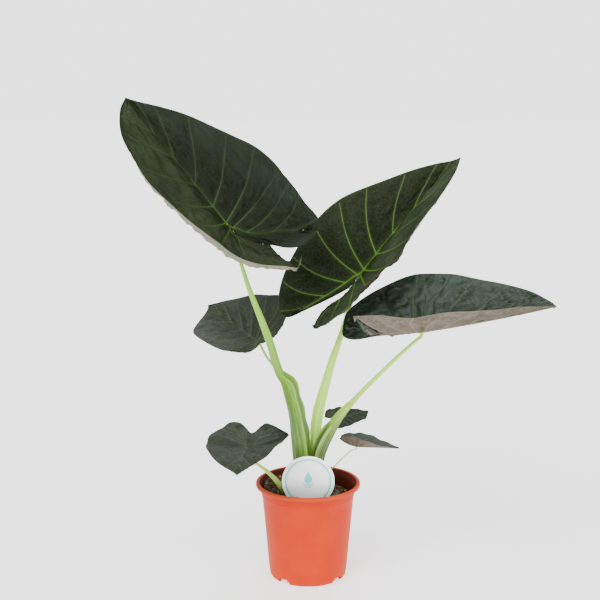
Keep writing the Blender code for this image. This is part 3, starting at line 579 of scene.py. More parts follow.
def build_blade(name, p, mats, fine=2):
    a_out = stations(fine)
    y_in = np.interp(a_out, LEAVE[:, 0], LEAVE[:, 1])
    a_in = np.unique(np.round(LOBE_TURN * np.clip(-y_in[y_in <= 1e-9] / 0.44, 0, 1), 9))
    if fine > 1:
        near = [0, .006, .014, .025, .04, .06, .085, .115, .15]
        b_out = np.array(near + list(np.linspace(0.18, 0.96, 27)) + [.98, .992, 1.0])
        b_in = np.array([0, .08, .18, .30, .44, .58, .72, .85, .94, 1.0])
    else:
        b_out = np.array([0, .02, .05, .10, .17, .25, .34, .43, .52, .61, .70, .79, .87, .94, .98, 1.0])
        b_in = np.array([0, .15, .35, .6, .85, 1.0])
    keys, P2, A, B, F, S = {}, [], [], [], [], []
    quads = []
    for side in (1, -1):
        for a_list, b_list in ((a_in, b_in), (a_out, b_out)):
            aa, bb = np.meshgrid(a_list, b_list, indexing="ij")
            x, y = planform(aa.ravel(), bb.ravel(), side, p)
            ids = []
            for a1, b1, x1, y1 in zip(aa.ravel(), bb.ravel(), x, y):
                key = (round(side * x1, 6) + 0.0, round(y1, 6))
                if key not in keys:
                    keys[key] = len(P2)
                    P2.append((x1, y1))
                    A.append(a1)
                    B.append(b1)
                    S.append(side)
                ids.append(keys[key])
            ids = np.array(ids).reshape(aa.shape)
            for i in range(len(a_list) - 1):
                for j in range(len(b_list) - 1):
                    q = [ids[i, j], ids[i, j + 1], ids[i + 1, j + 1], ids[i + 1, j]]
                    if side < 0:
                        q = q[::-1]
                    r = [v for k, v in enumerate(q) if v != q[k - 1]]
                    if len(r) > 2:
                        quads.append(r)
    P2, A, B, S = np.array(P2), np.array(A), np.array(B), np.array(S)
    n = len(P2)
    L = p["length"]
    local = np.zeros((n, 3))
    for side in (1, -1):
        m = S == side
        local[m] = shaped(P2[m, 0], P2[m, 1], side, p)
    right, ahead, up = (np.array(v) for v in blade_axes(p))
    base = np.array(p["joint"]) + L * (local[:, :1] * right + local[:, 1:2] * ahead + local[:, 2:] * up)
    # distance to the veins, in units of each vein's own half width
    flat = P2.copy() * L
    ratio = np.full(n, 9.0)
    lift = np.zeros(n)
    size = L / 0.24
    for side in (1, -1):
        m = (S == side) | (P2[:, 0] < 1e-6)
        pts = P2[m]

        def reckon(line, w0, w1, keel0, keel1):
            d, t = to_polyline(pts, line)
            w = (w0 + (w1 - w0) * t ** 0.7) * max(size, 0.35) ** 0.6
            k = keel0 + (keel1 - keel0) * t ** 0.8
            r = d * L / w
            ratio[m] = np.minimum(ratio[m], r)
            lift[m] = np.maximum(lift[m], k * size ** 0.7 * np.exp(-(d * L / (w * 1.5)) ** 2))

        ys = np.linspace(0, 1, 30)
        reckon(np.stack([np.zeros(30), ys], 1), 0.0021, 0.0005, 0.0024, 0.0003)
        tt = np.linspace(0, 1, 16)
        rx, ry = planform(LOBE_TURN * tt, np.zeros(16), side, p)
        reckon(np.stack([rx, ry], 1), 0.0019, 0.0006, 0.0020, 0.0004)
        for k, va in enumerate(SIDE_VEINS):
            bb = np.linspace(0, 0.97, 26)
            vx, vy = planform(np.full(26, va), bb, side, p)
            wide = 0.00115 if va < 0.8 else 0.0008
            reckon(np.stack([vx, vy], 1), wide, 0.00045, 0.0011, 0.0003)
    # dome between neighbouring side veins, and creases that run with them
    marks = np.array([LOBE_TURN, *SIDE_VEINS, 1.0])
    i = np.clip(np.searchsorted(marks, A, side="right") - 1, 0, len(marks) - 2)
    f = np.clip((A - marks[i]) / (marks[i + 1] - marks[i]), 0, 1)
    inside = A > LOBE_TURN
    env = np.sin(math.pi * np.clip(B, 0, 1) ** 0.75) ** 0.6
    env[B >= 1] = 0
    dome = np.where(inside, np.sin(math.pi * f) ** 0.8 * env, 0.0)
    seed = p["seed"]
    crease = np.array([noise.noise(Vector((si * 7.3 + ai * 31 + seed, bi * 6.5, seed)))
                       + 0.5 * noise.noise(Vector((ai * 70 + seed, bi * 15, seed + 5)))
                       for ai, bi, si in zip(A, B, S)])
    pucker = np.array([noise.noise(Vector((x1 * 130 * s1 + seed, y1 * 130, seed)))
                       + 0.5 * noise.noise(Vector((x1 * 310 * s1, y1 * 310 + seed, 3.0)))
                       for (x1, y1), s1 in zip(flat, S)])
    # narrow valleys that run with the side veins, deepest towards the margin
    valley = np.array([(1 - min(1.0, 3.2 * abs(noise.noise(Vector((ai * 62 + si * 9, bi * 4.5, seed + 11)))))) ** 2
                       for ai, bi, si in zip(A, B, S)])
    valley = valley * np.clip(B * 1.6 - 0.2, 0, 1) * inside
    blend = np.clip((ratio - 1.0) / 5.0, 0, 1) * np.clip((1 - B) * 14, 0, 1)
    h = p["quilt"] * dome + blend * (p["crease"] * crease + p["pucker"] * pucker - p["wrinkle"] * valley)
    h += 0.00025 * size * np.exp(-ratio ** 2)
    # smooth normals of the middle sheet
    tri = []
    for q in quads:
        tri.append(q[:3])
        if len(q) == 4:
            tri.append([q[0], q[2], q[3]])
    tri = np.array(tri)
    fn = np.cross(base[tri[:, 1]] - base[tri[:, 0]], base[tri[:, 2]] - base[tri[:, 0]])
    vn = np.zeros((n, 3))
    for c in range(3):
        np.add.at(vn, tri[:, c], fn)
    length = np.linalg.norm(vn, axis=1)
    flip = 1.0 if (vn.sum(0) @ up) > 0 else -1.0
    vn = flip * vn / np.maximum(length, 1e-12)[:, None]
    half = p["thick"] * (0.30 + 0.70 * np.clip((1 - B) * 12, 0, 1))
    half[A < LOBE_TURN] = p["thick"] * np.clip(0.3 + (1 - B[A < LOBE_TURN]) * 2, 0.3, 1.0)
    top = base + vn * h[:, None]
    bottom = base + vn * (h - half - lift)[:, None]
    # close the rim
    seen = {}
    for q in quads:
        for k in range(len(q)):
            u, v = q[k], q[(k + 1) % len(q)]
            seen[(u, v)] = seen.get((u, v), 0) + 1
    rim = [(u, v) for (u, v) in seen if (v, u) not in seen]
    # both sides are cut along the same diagonals, so neither pokes through
    up_faces = tri.tolist() if flip > 0 else [q[::-1] for q in tri.tolist()]
    low_faces = [[v + n for v in q][::-1] for q in up_faces]
    side_faces = [([v, u, u + n, v + n] if flip > 0 else [u, v, v + n, u + n]) for u, v in rim]
    faces = up_faces + low_faces + side_faces
    which = [0] * len(up_faces) + [1] * len(low_faces) + [0] * len(side_faces)
    signed = np.stack([flat[:, 0] * S, flat[:, 1], np.zeros(n)], 1)
    far = np.linalg.norm(P2, axis=1)
    lead = np.clip(1.0 - far / p["bright"], 0, 1)
    edge = np.where(A > LOBE_TURN, B, np.clip(B, 0, 1))
    two = lambda v: np.concatenate([v, v])
    ob = make(name, np.vstack([top, bottom]), [tuple(int(v) for v in q) for q in faces], mats, which,
              dict(flat=np.vstack([signed, signed]), vein=two(np.minimum(ratio, 8.0)),
                   lead=two(lead), edge=two(edge)))
    return ob


PLAIN = dict(full=0.0, swing=0.0, swing_r=0.0, swing_l=0.0, arch=0.0, nod=0.0, rear=0.0, wide_r=1.0, wide_l=1.0,
             lobe_r=1.0, lobe_l=1.0, fold_r=0.0, fold_l=0.0, fold_tip_r=0.0, fold_tip_l=0.0,
             fold_lobe_r=0.0, fold_lobe_l=0.0, curl_r=0.0, curl_l=0.0, roll_r=0.0, roll_l=0.0,
             own_r={}, own_l={}, wave_r=(), wave_l=(), ruffle=0.0, beats=3.0, phase=0.0,
             thick=0.0009, quilt=0.0012, crease=0.0006, pucker=0.0003, wrinkle=0.0, bright=0.5, seed=1.0)


def blade(**own):
    p = dict(PLAIN)
    p.update(own)
    return p


BLADES = {
    "upper_left": blade(joint=(-0.122, -0.080, 0.589), length=0.243, heading=180, rise=52,
                        bank=-60, full=0.10, swing=30, rear=0.2, wide_r=1.08, lobe_l=0.85,
                        fold_r=5, curl_r=-0.2, fold_l=30, fold_tip_l=-35, fold_lobe_l=17,
                        curl_l=1.1, roll_l=0.9, quilt=0.0038, crease=0.0036, pucker=0.0010, wrinkle=0.0026,
                        bright=0.35, seed=2.0, ruffle=0.006, beats=3.2,
                        own_r={0: (0.0, -0.30), 1: (0.008, -0.395), 2: (0.05, -0.485),
                               3: (0.14, -0.55), 4: (0.235, -0.55), 5: (0.31, -0.43),
                               6: (0.385, -0.31), 7: (0.465, -0.12), 8: (0.475, 0.09),
                               9: (0.447, 0.255), 10: (0.355, 0.417), 11: (0.235, 0.633),
                               12: (0.115, 0.84), 13: (0.028, 0.955)},
                        wave_l=((0.70, 0.12, 0.05), (-0.30, 0.25, 0.05)),
                        own_l={0: (0.0, -0.353), 1: (0.08, -0.42), 2: (0.12, -0.48),
                               3: (0.14, -0.53), 4: (0.21, -0.56), 8: (0.465, 0.09), 9: (0.445, 0.255),
                               10: (0.385, 0.417), 11: (0.305, 0.65), 12: (0.19, 0.855),
                               13: (0.09, 0.957)}),
    "centre": blade(joint=(0.087, 0.030, 0.499), length=0.245, heading=0, rise=53, bank=65,
                    full=-0.08, swing=-4, arch=0.2, nod=0.2, rear=-0.1, lobe_r=0.75,
                    lobe_l=1.02, fold_r=46, fold_tip_r=-5, curl_r=1.2, roll_r=0.3,
                    fold_l=8, curl_l=-0.3, quilt=0.0042, crease=0.0028, pucker=0.0008, wrinkle=0.0016,
                    bright=0.9, seed=5.0, ruffle=0.006, beats=2.4, phase=1.0, swing_r=-14, fold_lobe_r=-25,
                    own_r={4: (0.25, -0.565), 5: (0.36, -0.48), 6: (0.45, -0.31), 7: (0.44, -0.12),
                           8: (0.50, 0.09), 9: (0.48, 0.255)},
                    own_l={1: (0.06, -0.30), 2: (0.125, -0.45), 3: (0.175, -0.55), 11: (0.250, 0.633),
                           12: (0.105, 0.84), 13: (0.02, 0.955)},
                    wave_r=((0.22, 0.13, -0.15),)),
    "right": blade(joint=(0.1747, -0.055, 0.420), length=0.211, heading=-8, rise=10, bank=6,
                   full=0.17, arch=-0.09, rear=-0.3, lobe_r=0.85, lobe_l=1.05, fold_r=34,
                   fold_lobe_r=28, curl_r=-0.2, fold_l=47, fold_lobe_l=-11, curl_l=-0.2,
                   quilt=0.0050, crease=0.0046, pucker=0.0013, wrinkle=0.0042, bright=0.4, seed=9.0,
                   ruffle=0.004, beats=3.0,
                   own_l={1: (0.03, -0.31), 2: (0.05, -0.47), 3: (0.115, -0.55), 4: (0.215, -0.535),
                          6: (0.41, -0.31), 7: (0.475, -0.12), 8: (0.485, 0.09), 9: (0.445, 0.255),
                          10: (0.365, 0.417),
                          11: (0.240, 0.64), 12: (0.150, 0.85), 13: (0.055, 0.957)},
                   own_r={1: (0.045, -0.29), 2: (0.14, -0.36), 3: (0.285, -0.395), 4: (0.435, -0.435),
                          5: (0.53, -0.45), 6: (0.525, -0.36), 7: (0.515, -0.17), 8: (0.42, 0.04),
                          9: (0.46, 0.24), 10: (0.31, 0.417), 11: (0.20, 0.65), 12: (0.11, 0.86),
                          13: (0.05, 0.957)}),
    "middle_left": blade(joint=(-0.084, 0.080, 0.375), length=0.128, heading=130, rise=15,
                         bank=-50, full=0.25, arch=-0.3, rear=1.5, wide_r=1.1, wide_l=1.3,
                         lobe_r=0.5, lobe_l=0.35, fold_r=5, fold_l=28, curl_l=1.0,
                         quilt=0.0018, crease=0.0018, pucker=0.0005, wrinkle=0.0008, bright=0.5, seed=11.0,
                         ruffle=0.008, beats=2.6,
                         own_r={0: (0.0, -0.20), 1: (0.035, -0.30), 4: (0.26, -0.60), 5: (0.40, -0.50),
                                6: (0.50, -0.31), 7: (0.575, -0.09), 8: (0.590, 0.14), 9: (0.505, 0.315),
                                10: (0.38, 0.49), 11: (0.24, 0.67), 12: (0.12, 0.85)},
                         own_l={0: (0.0, -0.20), 1: (0.035, -0.30), 4: (0.20, -0.565), 5: (0.25, -0.48),
                                6: (0.31, -0.31), 7: (0.37, -0.12), 8: (0.46, 0.09), 9: (0.50, 0.255),
                                10: (0.49, 0.417), 11: (0.39, 0.62), 12: (0.20, 0.84)}),
    "lower_left": blade(joint=(-0.095, -0.070, 0.236), length=0.096, heading=-98, rise=12,
                        bank=0, full=0.2, arch=0.7, rear=3.2, wide_r=1.45, wide_l=1.5,
                        fold_r=3, fold_l=9, curl_l=0.25, roll_l=0.5, quilt=0.0015,
                        crease=0.0014, pucker=0.0004, wrinkle=0.0007, bright=0.5, seed=14.0, ruffle=0.012,
                        beats=2.2,
                        own_r={0: (0.0, -0.40), 1: (0.03, -0.43), 2: (0.06, -0.48), 3: (0.14, -0.57),
                               4: (0.25, -0.57), 5: (0.33, -0.48), 6: (0.42, -0.39), 7: (0.49, -0.25)},
                        own_l={0: (0.0, -0.40), 1: (0.045, -0.43), 2: (0.11, -0.53), 3: (0.18, -0.60),
                               4: (0.28, -0.58), 5: (0.38, -0.48), 6: (0.455, -0.33), 7: (0.475, -0.16)}),
    "small_back": blade(joint=(0.056, 0.120, 0.2305), length=0.05, heading=5, rise=13,
                        bank=38, full=0.3, lobe_r=0.7, lobe_l=0.9, curl_r=0.5, fold_l=-2,
                        quilt=0.0004, crease=0.0004, pucker=0.0001, seed=17.0, ruffle=0.02,
                        own_r={12: (0.26, 0.84), 13: (0.10, 0.955)},
                        own_l={5: (0.42, -0.48), 6: (0.48, -0.31), 9: (0.38, 0.255), 10: (0.27, 0.417),
                               11: (0.15, 0.633), 12: (0.07, 0.84), 13: (0.02, 0.955)}),
    "small_right": blade(joint=(0.079, 0.020, 0.211), length=0.073, heading=-15, rise=2,
                         bank=-9, full=-0.1, rear=1.0, lobe_r=0.7, lobe_l=0.8, fold_r=36,
                         fold_tip_r=-30, fold_l=33, fold_tip_l=-12, thick=0.0007,
                         quilt=0.0005, crease=0.0004, pucker=0.0001, seed=20.0, ruffle=0.01),
    "sprout": blade(joint=(0.045, -0.050, 0.1490), length=0.014, heading=80, rise=48,
                    bank=0, wide_r=1.3, wide_l=1.3, lobe_r=0.6, lobe_l=0.6, arch=0.5,
                    fold_r=-12, fold_l=-12, thick=0.0006, quilt=0.0001, crease=0.0001,
                    pucker=0.00003, seed=23.0),
}

# every stalk: points on its centre line with half widths across and in depth
STALKS = {
    "upper_left": [(-0.0100, -0.0080, 0.1506, 0.0090, 0.0076),
                   (-0.0100, -0.0110, 0.205, 0.0152, 0.0092),
                   (-0.0138, -0.0160, 0.245, 0.0146, 0.0090),
                   (-0.0186, -0.0210, 0.278, 0.0130, 0.0088),
                   (-0.0262, -0.0280, 0.311, 0.0124, 0.0084),
                   (-0.0325, -0.0340, 0.333, 0.0116, 0.0078),
                   (-0.0440, -0.0395, 0.348, 0.0074, 0.0070),
                   (-0.0512, -0.0435, 0.368, 0.0066, 0.0066),
                   (-0.0590, -0.047, 0.397, 0.0063, 0.0063),
                   (-0.0740, -0.054, 0.441, 0.0052, 0.0052),
                   (-0.0900, -0.061, 0.485, 0.0039, 0.0039),
                   (-0.1035, -0.067, 0.530, 0.0028, 0.0028),
                   (-0.1130, -0.069, 0.562, 0.0026, 0.0026)],
    "centre": [(0.0035, 0.0085, 0.1506, 0.0060, 0.0055),
               (0.0100, 0.0085, 0.200, 0.0072, 0.0062),
               (0.0125, 0.0090, 0.240, 0.0086, 0.0068),
               (0.0160, 0.0110, 0.270, 0.0090, 0.0070),
               (0.0256, 0.0150, 0.308, 0.0076, 0.0066),
               (0.0394, 0.0200, 0.356, 0.0062, 0.0058),
               (0.0535, 0.0250, 0.397, 0.0046, 0.0046),
               (0.0680, 0.0330, 0.444, 0.0034, 0.0034),
               (0.0800, 0.0400, 0.478, 0.0030, 0.0030)],
    "right": [(0.0105, -0.0060, 0.1506, 0.0082, 0.0068),
              (0.0160, -0.0100, 0.199, 0.0105, 0.0078),
              (0.0210, -0.0125, 0.220, 0.0112, 0.0078),
              (0.0300, -0.0160, 0.240, 0.0106, 0.0074),
              (0.0500, -0.0220, 0.2745, 0.0074, 0.0062),
              (0.0748, -0.0290, 0.3047, 0.0042, 0.0042),
              (0.0980, -0.0360, 0.3324, 0.0035, 0.0035),
              (0.1355, -0.0450, 0.373, 0.0030, 0.0030),
              (0.1630, -0.0520, 0.401, 0.0027, 0.0027)],
    "middle_left": [(-0.0095, 0.0090, 0.1506, 0.0040, 0.0040),
                    (-0.0100, 0.0180, 0.215, 0.0038, 0.0038),
                    (-0.0210, 0.0350, 0.262, 0.0034, 0.0034),
                    (-0.0380, 0.0560, 0.305, 0.0028, 0.0028),
                    (-0.0560, 0.0750, 0.331, 0.0024, 0.0024),
                    (-0.0700, 0.0850, 0.348, 0.0021, 0.0021)],
    "lower_left": [(-0.0340, -0.0320, 0.1465, 0.0066, 0.0052),
                   (-0.0440, -0.0375, 0.162, 0.0055, 0.0046),
                   (-0.0530, -0.0455, 0.177, 0.0040, 0.0038),
                   (-0.0690, -0.0570, 0.197, 0.0027, 0.0027),
                   (-0.0840, -0.0680, 0.213, 0.0021, 0.0021)],
    "small_back": [(0.0150, 0.0090, 0.1506, 0.0028, 0.0028),
                   (0.0210, 0.0250, 0.188, 0.0026, 0.0026),
                   (0.0290, 0.0480, 0.201, 0.0022, 0.0022),
                   (0.0400, 0.0850, 0.2060, 0.0018, 0.0018),
                   (0.0500, 0.1200, 0.2120, 0.0015, 0.0015)],
    "small_right": [(0.0280, 0.0090, 0.1370, 0.0014, 0.0014),
                    (0.0330, 0.0100, 0.166, 0.0010, 0.0010),
                    (0.0430, 0.0120, 0.179, 0.0009, 0.0009),
                    (0.0610, 0.0160, 0.196, 0.0008, 0.0008),
                    (0.0725, 0.0185, 0.2050, 0.0008, 0.0008)],
    "sprout": [(0.0445, -0.0470, 0.1340, 0.0016, 0.0016),
               (0.0448, -0.0485, 0.1405, 0.0013, 0.0013)],
}
# the open sheath low on a stalk: (top height, angle of its opening, its half width)
SHEATHS = {
    "upper_left": (0.352, -0.35, 0.75, 0.0028),
    "centre": (0.285, -2.2, 0.6, 0.0012),
    "right": (0.262, -2.75, 0.75, 0.0030),
}


def build_stalk(name, key, mat, sides=40, per_seg=9):
    p = BLADES[key]
    up = blade_axes(p)[2]
    pts = [list(q) for q in STALKS[key]]
    end = Vector(p["joint"]) - up * 0.0005
    w = pts[-1][3]
    lead = Vector(p["joint"]) - up * (0.0015 + max(0.004, 2.2 * w))
    pts.append([*lead, w, w])
    pts.append([*end, w * 1.25, w * 1.25])
    line, s = catmull(pts, per_seg * (len(pts) - 1))
    n = len(line)
    open_top, open_at, open_w, lip = SHEATHS.get(key, (0.0, 0.0, 1.0, 0.0))
    verts, along, groove_shade, wing, faces = [], [], [], [], []
    th = 2 * math.pi * np.arange(sides) / sides
    for i, q in enumerate(line):
        c = np.array(q[:3])
        t = line[min(i + 1, n - 1), :3] - line[max(i - 1, 0), :3]
        t /= np.linalg.norm(t)
        across = np.array((1.0, 0, 0)) - t * t[0]
        if np.linalg.norm(across) < 0.2:
            across = np.array((0, 0, 1.0)) - t * t[2]
        across /= np.linalg.norm(across)
        deep = np.cross(t, across)              # points away from the viewer's side
        # a shallow channel up the stalk's inner face, opening into the sheath
        d = (th - open_at + math.pi) % (2 * math.pi) - math.pi
        sheath = float(np.clip((open_top - q[2]) / 0.010, 0, 1)) if open_top else 0.0
        low = float(np.clip((q[2] - 0.155) / 0.03, 0, 1))
        valley = np.exp(-(d / (open_w * 0.55)) ** 2)
        lips = np.exp(-((np.abs(d) - open_w) / 0.16) ** 2)
        r = 1.0 - 0.22 * sheath * low * valley
        ripple = 1 + 0.012 * np.sin(9 * th + 0.7) + 0.008 * np.sin(17 * th + 2.0)
        out = lip * sheath * low * lips * (0.8 + 0.35 * math.sin(q[2] * 160))
        for k in range(sides):
            rx = q[3] * r[k] * ripple[k] + out[k]
            rz = q[4] * r[k] * ripple[k] + out[k]
            verts.append(c + across * rx * math.cos(th[k]) + deep * rz * math.sin(th[k]))
            along.append((math.cos(th[k]) * 0.008, s[i], math.sin(th[k]) * 0.008))
            # mask of the channel, where painted shade darkens it
            groove_shade.append(sheath * low * valley[k])
            wing.append(sheath * low * lips[k])
    for i in range(n - 1):
        for k in range(sides):
            m = (k + 1) % sides
            faces.append((i * sides + k, i * sides + m, (i + 1) * sides + m, (i + 1) * sides + k))
    faces.append(tuple(range(sides))[::-1])
    faces.append(tuple((n - 1) * sides + k for k in range(sides)))
    ob = make(name, verts, faces, [mat], None, dict(along=along, groove_shade=groove_shade, wing=wing))
    bm = bmesh.new()
    bm.from_mesh(ob.data)
    bmesh.ops.recalc_face_normals(bm, faces=bm.faces)
    bm.to_mesh(ob.data)
    bm.free()
    return ob


# ---------------------------------------------------------------------- pot
POT_H, RIM_R, RIM_IN_R, RIM_DROP = 0.158, 0.085, 0.0793, 0.0065
NECK_R, BASE_R, BAND_H, BAND_STEP, WALL = 0.0757, 0.0627, 0.0155, 0.0011, 0.0018
FOOT_H, FOOT_W = 0.009, 0.0068


def wall_r(z):
    return BASE_R + (NECK_R - BAND_STEP - BASE_R) * z / (POT_H - RIM_DROP - BAND_H)


def pot_profile():
    top, lip = POT_H, POT_H - RIM_DROP
    band = lip - BAND_H
    floor_top = FOOT_H + 0.0022
    wi = lambda z: wall_r(z) - WALL
    inner = [(0.0, floor_top), (wi(floor_top) - 0.004, floor_top),
             (wi(floor_top) - 0.001, floor_top + 0.001), (wi(floor_top + 0.004), floor_top + 0.004)]
    inner += [(wi(z), z) for z in (0.05, 0.09, 0.125)]
    inner += [(NECK_R - WALL - 0.0002, lip - 0.006), (NECK_R - WALL + 0.0004, lip - 0.003),
              (NECK_R - WALL + 0.0012, lip - 0.001), (RIM_IN_R - 0.0020, top - 0.0042),
              (RIM_IN_R - 0.0010, top - 0.0026), (RIM_IN_R - 0.0002, top - 0.0012),
              (RIM_IN_R + 0.0006, top - 0.0004), (RIM_IN_R + 0.0018, top)]
    outer = [(RIM_R - 0.0022, top), (RIM_R - 0.0011, top - 0.0002), (RIM_R - 0.0004, top - 0.0007),
             (RIM_R, top - 0.0018), (RIM_R + 0.0001, top - 0.0030), (RIM_R, lip + 0.0016),
             (RIM_R - 0.0003, lip + 0.0006), (RIM_R - 0.0010, lip + 0.0001), (RIM_R - 0.0018, lip),
             (NECK_R + 0.0012, lip - 0.0001), (NECK_R + 0.0003, lip - 0.0005), (NECK_R, lip - 0.0014),
             (wall_r(band) + BAND_STEP + 0.0001, band + 0.0022),
             (wall_r(band) + BAND_STEP, band + 0.0010), (wall_r(band) + BAND_STEP * 0.75, band + 0.0003),
             (wall_r(band) + BAND_STEP * 0.2, band - 0.0002), (wall_r(band - 0.001), band - 0.0012)]
    outer += [(wall_r(z), z) for z in (0.115, 0.09, 0.065, 0.04, 0.022, 0.012, 0.008)]
    outer += [(BASE_R - 0.0001, 0.0050), (BASE_R - 0.0006, 0.0026), (BASE_R - 0.0015, 0.0010),
              (BASE_R - 0.0027, 0.0002), (BASE_R - 0.0038, 0.0)]
    foot_in = BASE_R - FOOT_W
    under = [(foot_in + 0.0012, 0.0), (foot_in + 0.0004, 0.0003), (foot_in, 0.0012),
             (foot_in - 0.0004, FOOT_H - 0.0008), (foot_in - 0.0012, FOOT_H), (0.0, FOOT_H)]
    return inner + outer + under, len(inner)


def build_pot(mat):
    prof, n_in = pot_profile()
    steps = 144
    verts, inner, faces, rows = [], [], [], []
    for i, (r, z) in enumerate(prof):
        row = []
        if r < 1e-9:
            verts.append((0, 0, z))
            inner.append(1.0 if i < n_in else 0.0)
            row = [len(verts) - 1] * steps
        else:
            for k in range(steps):
                a = 2 * math.pi * k / steps
                # the thin wall is never quite round
                rr = r + 0.00018 * math.sin(2 * a + 0.6) * (1 if z > 0.02 else 0)
                verts.append((rr * math.cos(a), rr * math.sin(a), z))
                inner.append(1.0 if i < n_in - 2 else 0.0)
                row.append(len(verts) - 1)
        rows.append(row)
    for r0, r1 in zip(rows, rows[1:]):
        for k in range(steps):
            m = (k + 1) % steps
            q = [r0[k], r0[m], r1[m], r1[k]]
            r = [v for j, v in enumerate(q) if v != q[j - 1]]
            if len(r) > 2:
                faces.append(tuple(r))
    ob = make("nursery_pot", verts, faces, [mat], None, dict(inner=inner))
    bm = bmesh.new()
    bm.from_mesh(ob.data)
    bmesh.ops.recalc_face_normals(bm, faces=bm.faces)
    bm.to_mesh(ob.data)
    bm.free()
    cutters = []
    for i in range(4):
        az = math.radians(5.75 + 45.0) + i * math.pi / 2
        d = Vector((math.sin(az), -math.cos(az), 0.0))
        bm = bmesh.new()
        bmesh.ops.create_cube(bm, size=1.0)
        depth = FOOT_W + 0.010
        bmesh.ops.scale(bm, vec=(0.022, depth, 0.017), verts=bm.verts)
        edges = [e for e in bm.edges if abs(e.verts[0].co.y - e.verts[1].co.y) > depth * 0.9
                 and e.verts[0].co.z > 0]
        bmesh.ops.bevel(bm, geom=edges, offset=0.0035, segments=5, affect="EDGES")
        me = bpy.data.meshes.new("notch_%d" % i)
        bm.to_mesh(me)
        bm.free()
        c = bpy.data.objects.new("notch_%d" % i, me)
        SCENE.collection.objects.link(c)
        c.rotation_euler = (0.0, 0.0, math.atan2(d.y, d.x) - math.pi / 2)
        c.location = d * (BASE_R - FOOT_W / 2 + 0.001)
        cutters.append(c)
        bm = bmesh.new()
        bmesh.ops.create_cone(bm, cap_ends=True, segments=28, radius1=0.005, radius2=0.005, depth=0.02)
        me = bpy.data.meshes.new("drain_%d" % i)
        bm.to_mesh(me)
        bm.free()
        c = bpy.data.objects.new("drain_%d" % i, me)
        SCENE.collection.objects.link(c)
        c.location = d * 0.043 + Vector((0, 0, FOOT_H))
        cutters.append(c)
    for c in cutters:
        m = ob.modifiers.new(c.name, "BOOLEAN")
        m.operation = "DIFFERENCE"
        m.object = c
    bpy.context.view_layer.update()
    dg = bpy.context.evaluated_depsgraph_get()
    me = bpy.data.meshes.new_from_object(ob.evaluated_get(dg))
    ob.modifiers.clear()
    ob.data = me
    for c in cutters:
        bpy.data.objects.remove(c, do_unlink=True)
    me.shade_smooth()
    me.set_sharp_from_angle(angle=0.55)
    return ob


# ------------------------------------------------------------------ compost
def soil_z(x, y):
    lump = math.sin(210 * x + 1.0) * math.cos(190 * y - 0.6) + 0.6 * math.sin(340 * x - 260 * y + 0.4)
    return 0.141 - 0.17 * x + 0.0011 * lump


def wall_in(z):
    return wall_r(z) - WALL


def build_soil(mat):
    """The crumbly top of the compost, closed round the corm and tag below."""
    rings, steps = 46, 120
    verts, faces = [], []
    for i in range(rings + 1):
        for k in range(steps):
            a = 2 * math.pi * k / steps
            u = i / rings
            x0, y0 = 0.0735 * u * math.cos(a), 0.0735 * u * math.sin(a)
            z = soil_z(x0, y0)
            r = min(wall_in(min(z, 0.1375)) - 0.0005, 0.0735) * u
            x, y = r * math.cos(a), r * math.sin(a)
            rough = (0.0026 * noise.noise(Vector((x * 95, y * 95, 1.0)))
                     + 0.0018 * noise.noise(Vector((x * 240, y * 240, 4.0)))
                     + 0.0010 * noise.noise(Vector((x * 620, y * 620, 8.0))))
            verts.append((x, y, soil_z(x, y) + rough * min(1.0, (1 - u) * 12 + 0.3)))
    lower = []
    for z_at in (0.12, 0.08, 0.045, 0.0160, 0.0120):
        row = []
        for k in range(steps):
            a = 2 * math.pi * k / steps
            r = wall_in(z_at) - (0.0005 if z_at > 0.013 else 0.0050)
            verts.append((r * math.cos(a), r * math.sin(a), z_at))
            row.append(len(verts) - 1)
        lower.append(row)
    rows = [[i * steps + k for k in range(steps)] for i in range(1, rings + 1)] + lower
    for r0, r1 in zip(rows, rows[1:]):
        for k in range(steps):
            m = (k + 1) % steps
            faces.append((r0[k], r1[k], r1[m], r0[m]))
    c = 0
    for k in range(steps):
        faces.append((c, steps + k, steps + (k + 1) % steps))
    faces.append(tuple(lower[-1]))
    ob = make("compost_top", verts, faces, [mat])
    bm = bmesh.new()
    bm.from_mesh(ob.data)
    loose = [v for v in bm.verts if not v.link_faces]
    bmesh.ops.delete(bm, geom=loose, context="VERTS")
    bmesh.ops.recalc_face_normals(bm, faces=bm.faces)
    bm.to_mesh(ob.data)
    bm.free()
    return ob


def lump_mesh(kind):
    """A few base shapes for bits of compost, as (verts, faces)."""
    bm = bmesh.new()
    if kind == "fibre":
        bmesh.ops.create_cone(bm, cap_ends=True, segments=5, radius1=0.5, radius2=0.35, depth=1.0)
    else:
        bmesh.ops.create_icosphere(bm, subdivisions=2 if kind == "stick" else 1, radius=0.5)
    v = np.array([x.co[:] for x in bm.verts])
    f = [[x.index for x in y.verts] for y in bm.faces]
    bm.free()
    return v, f


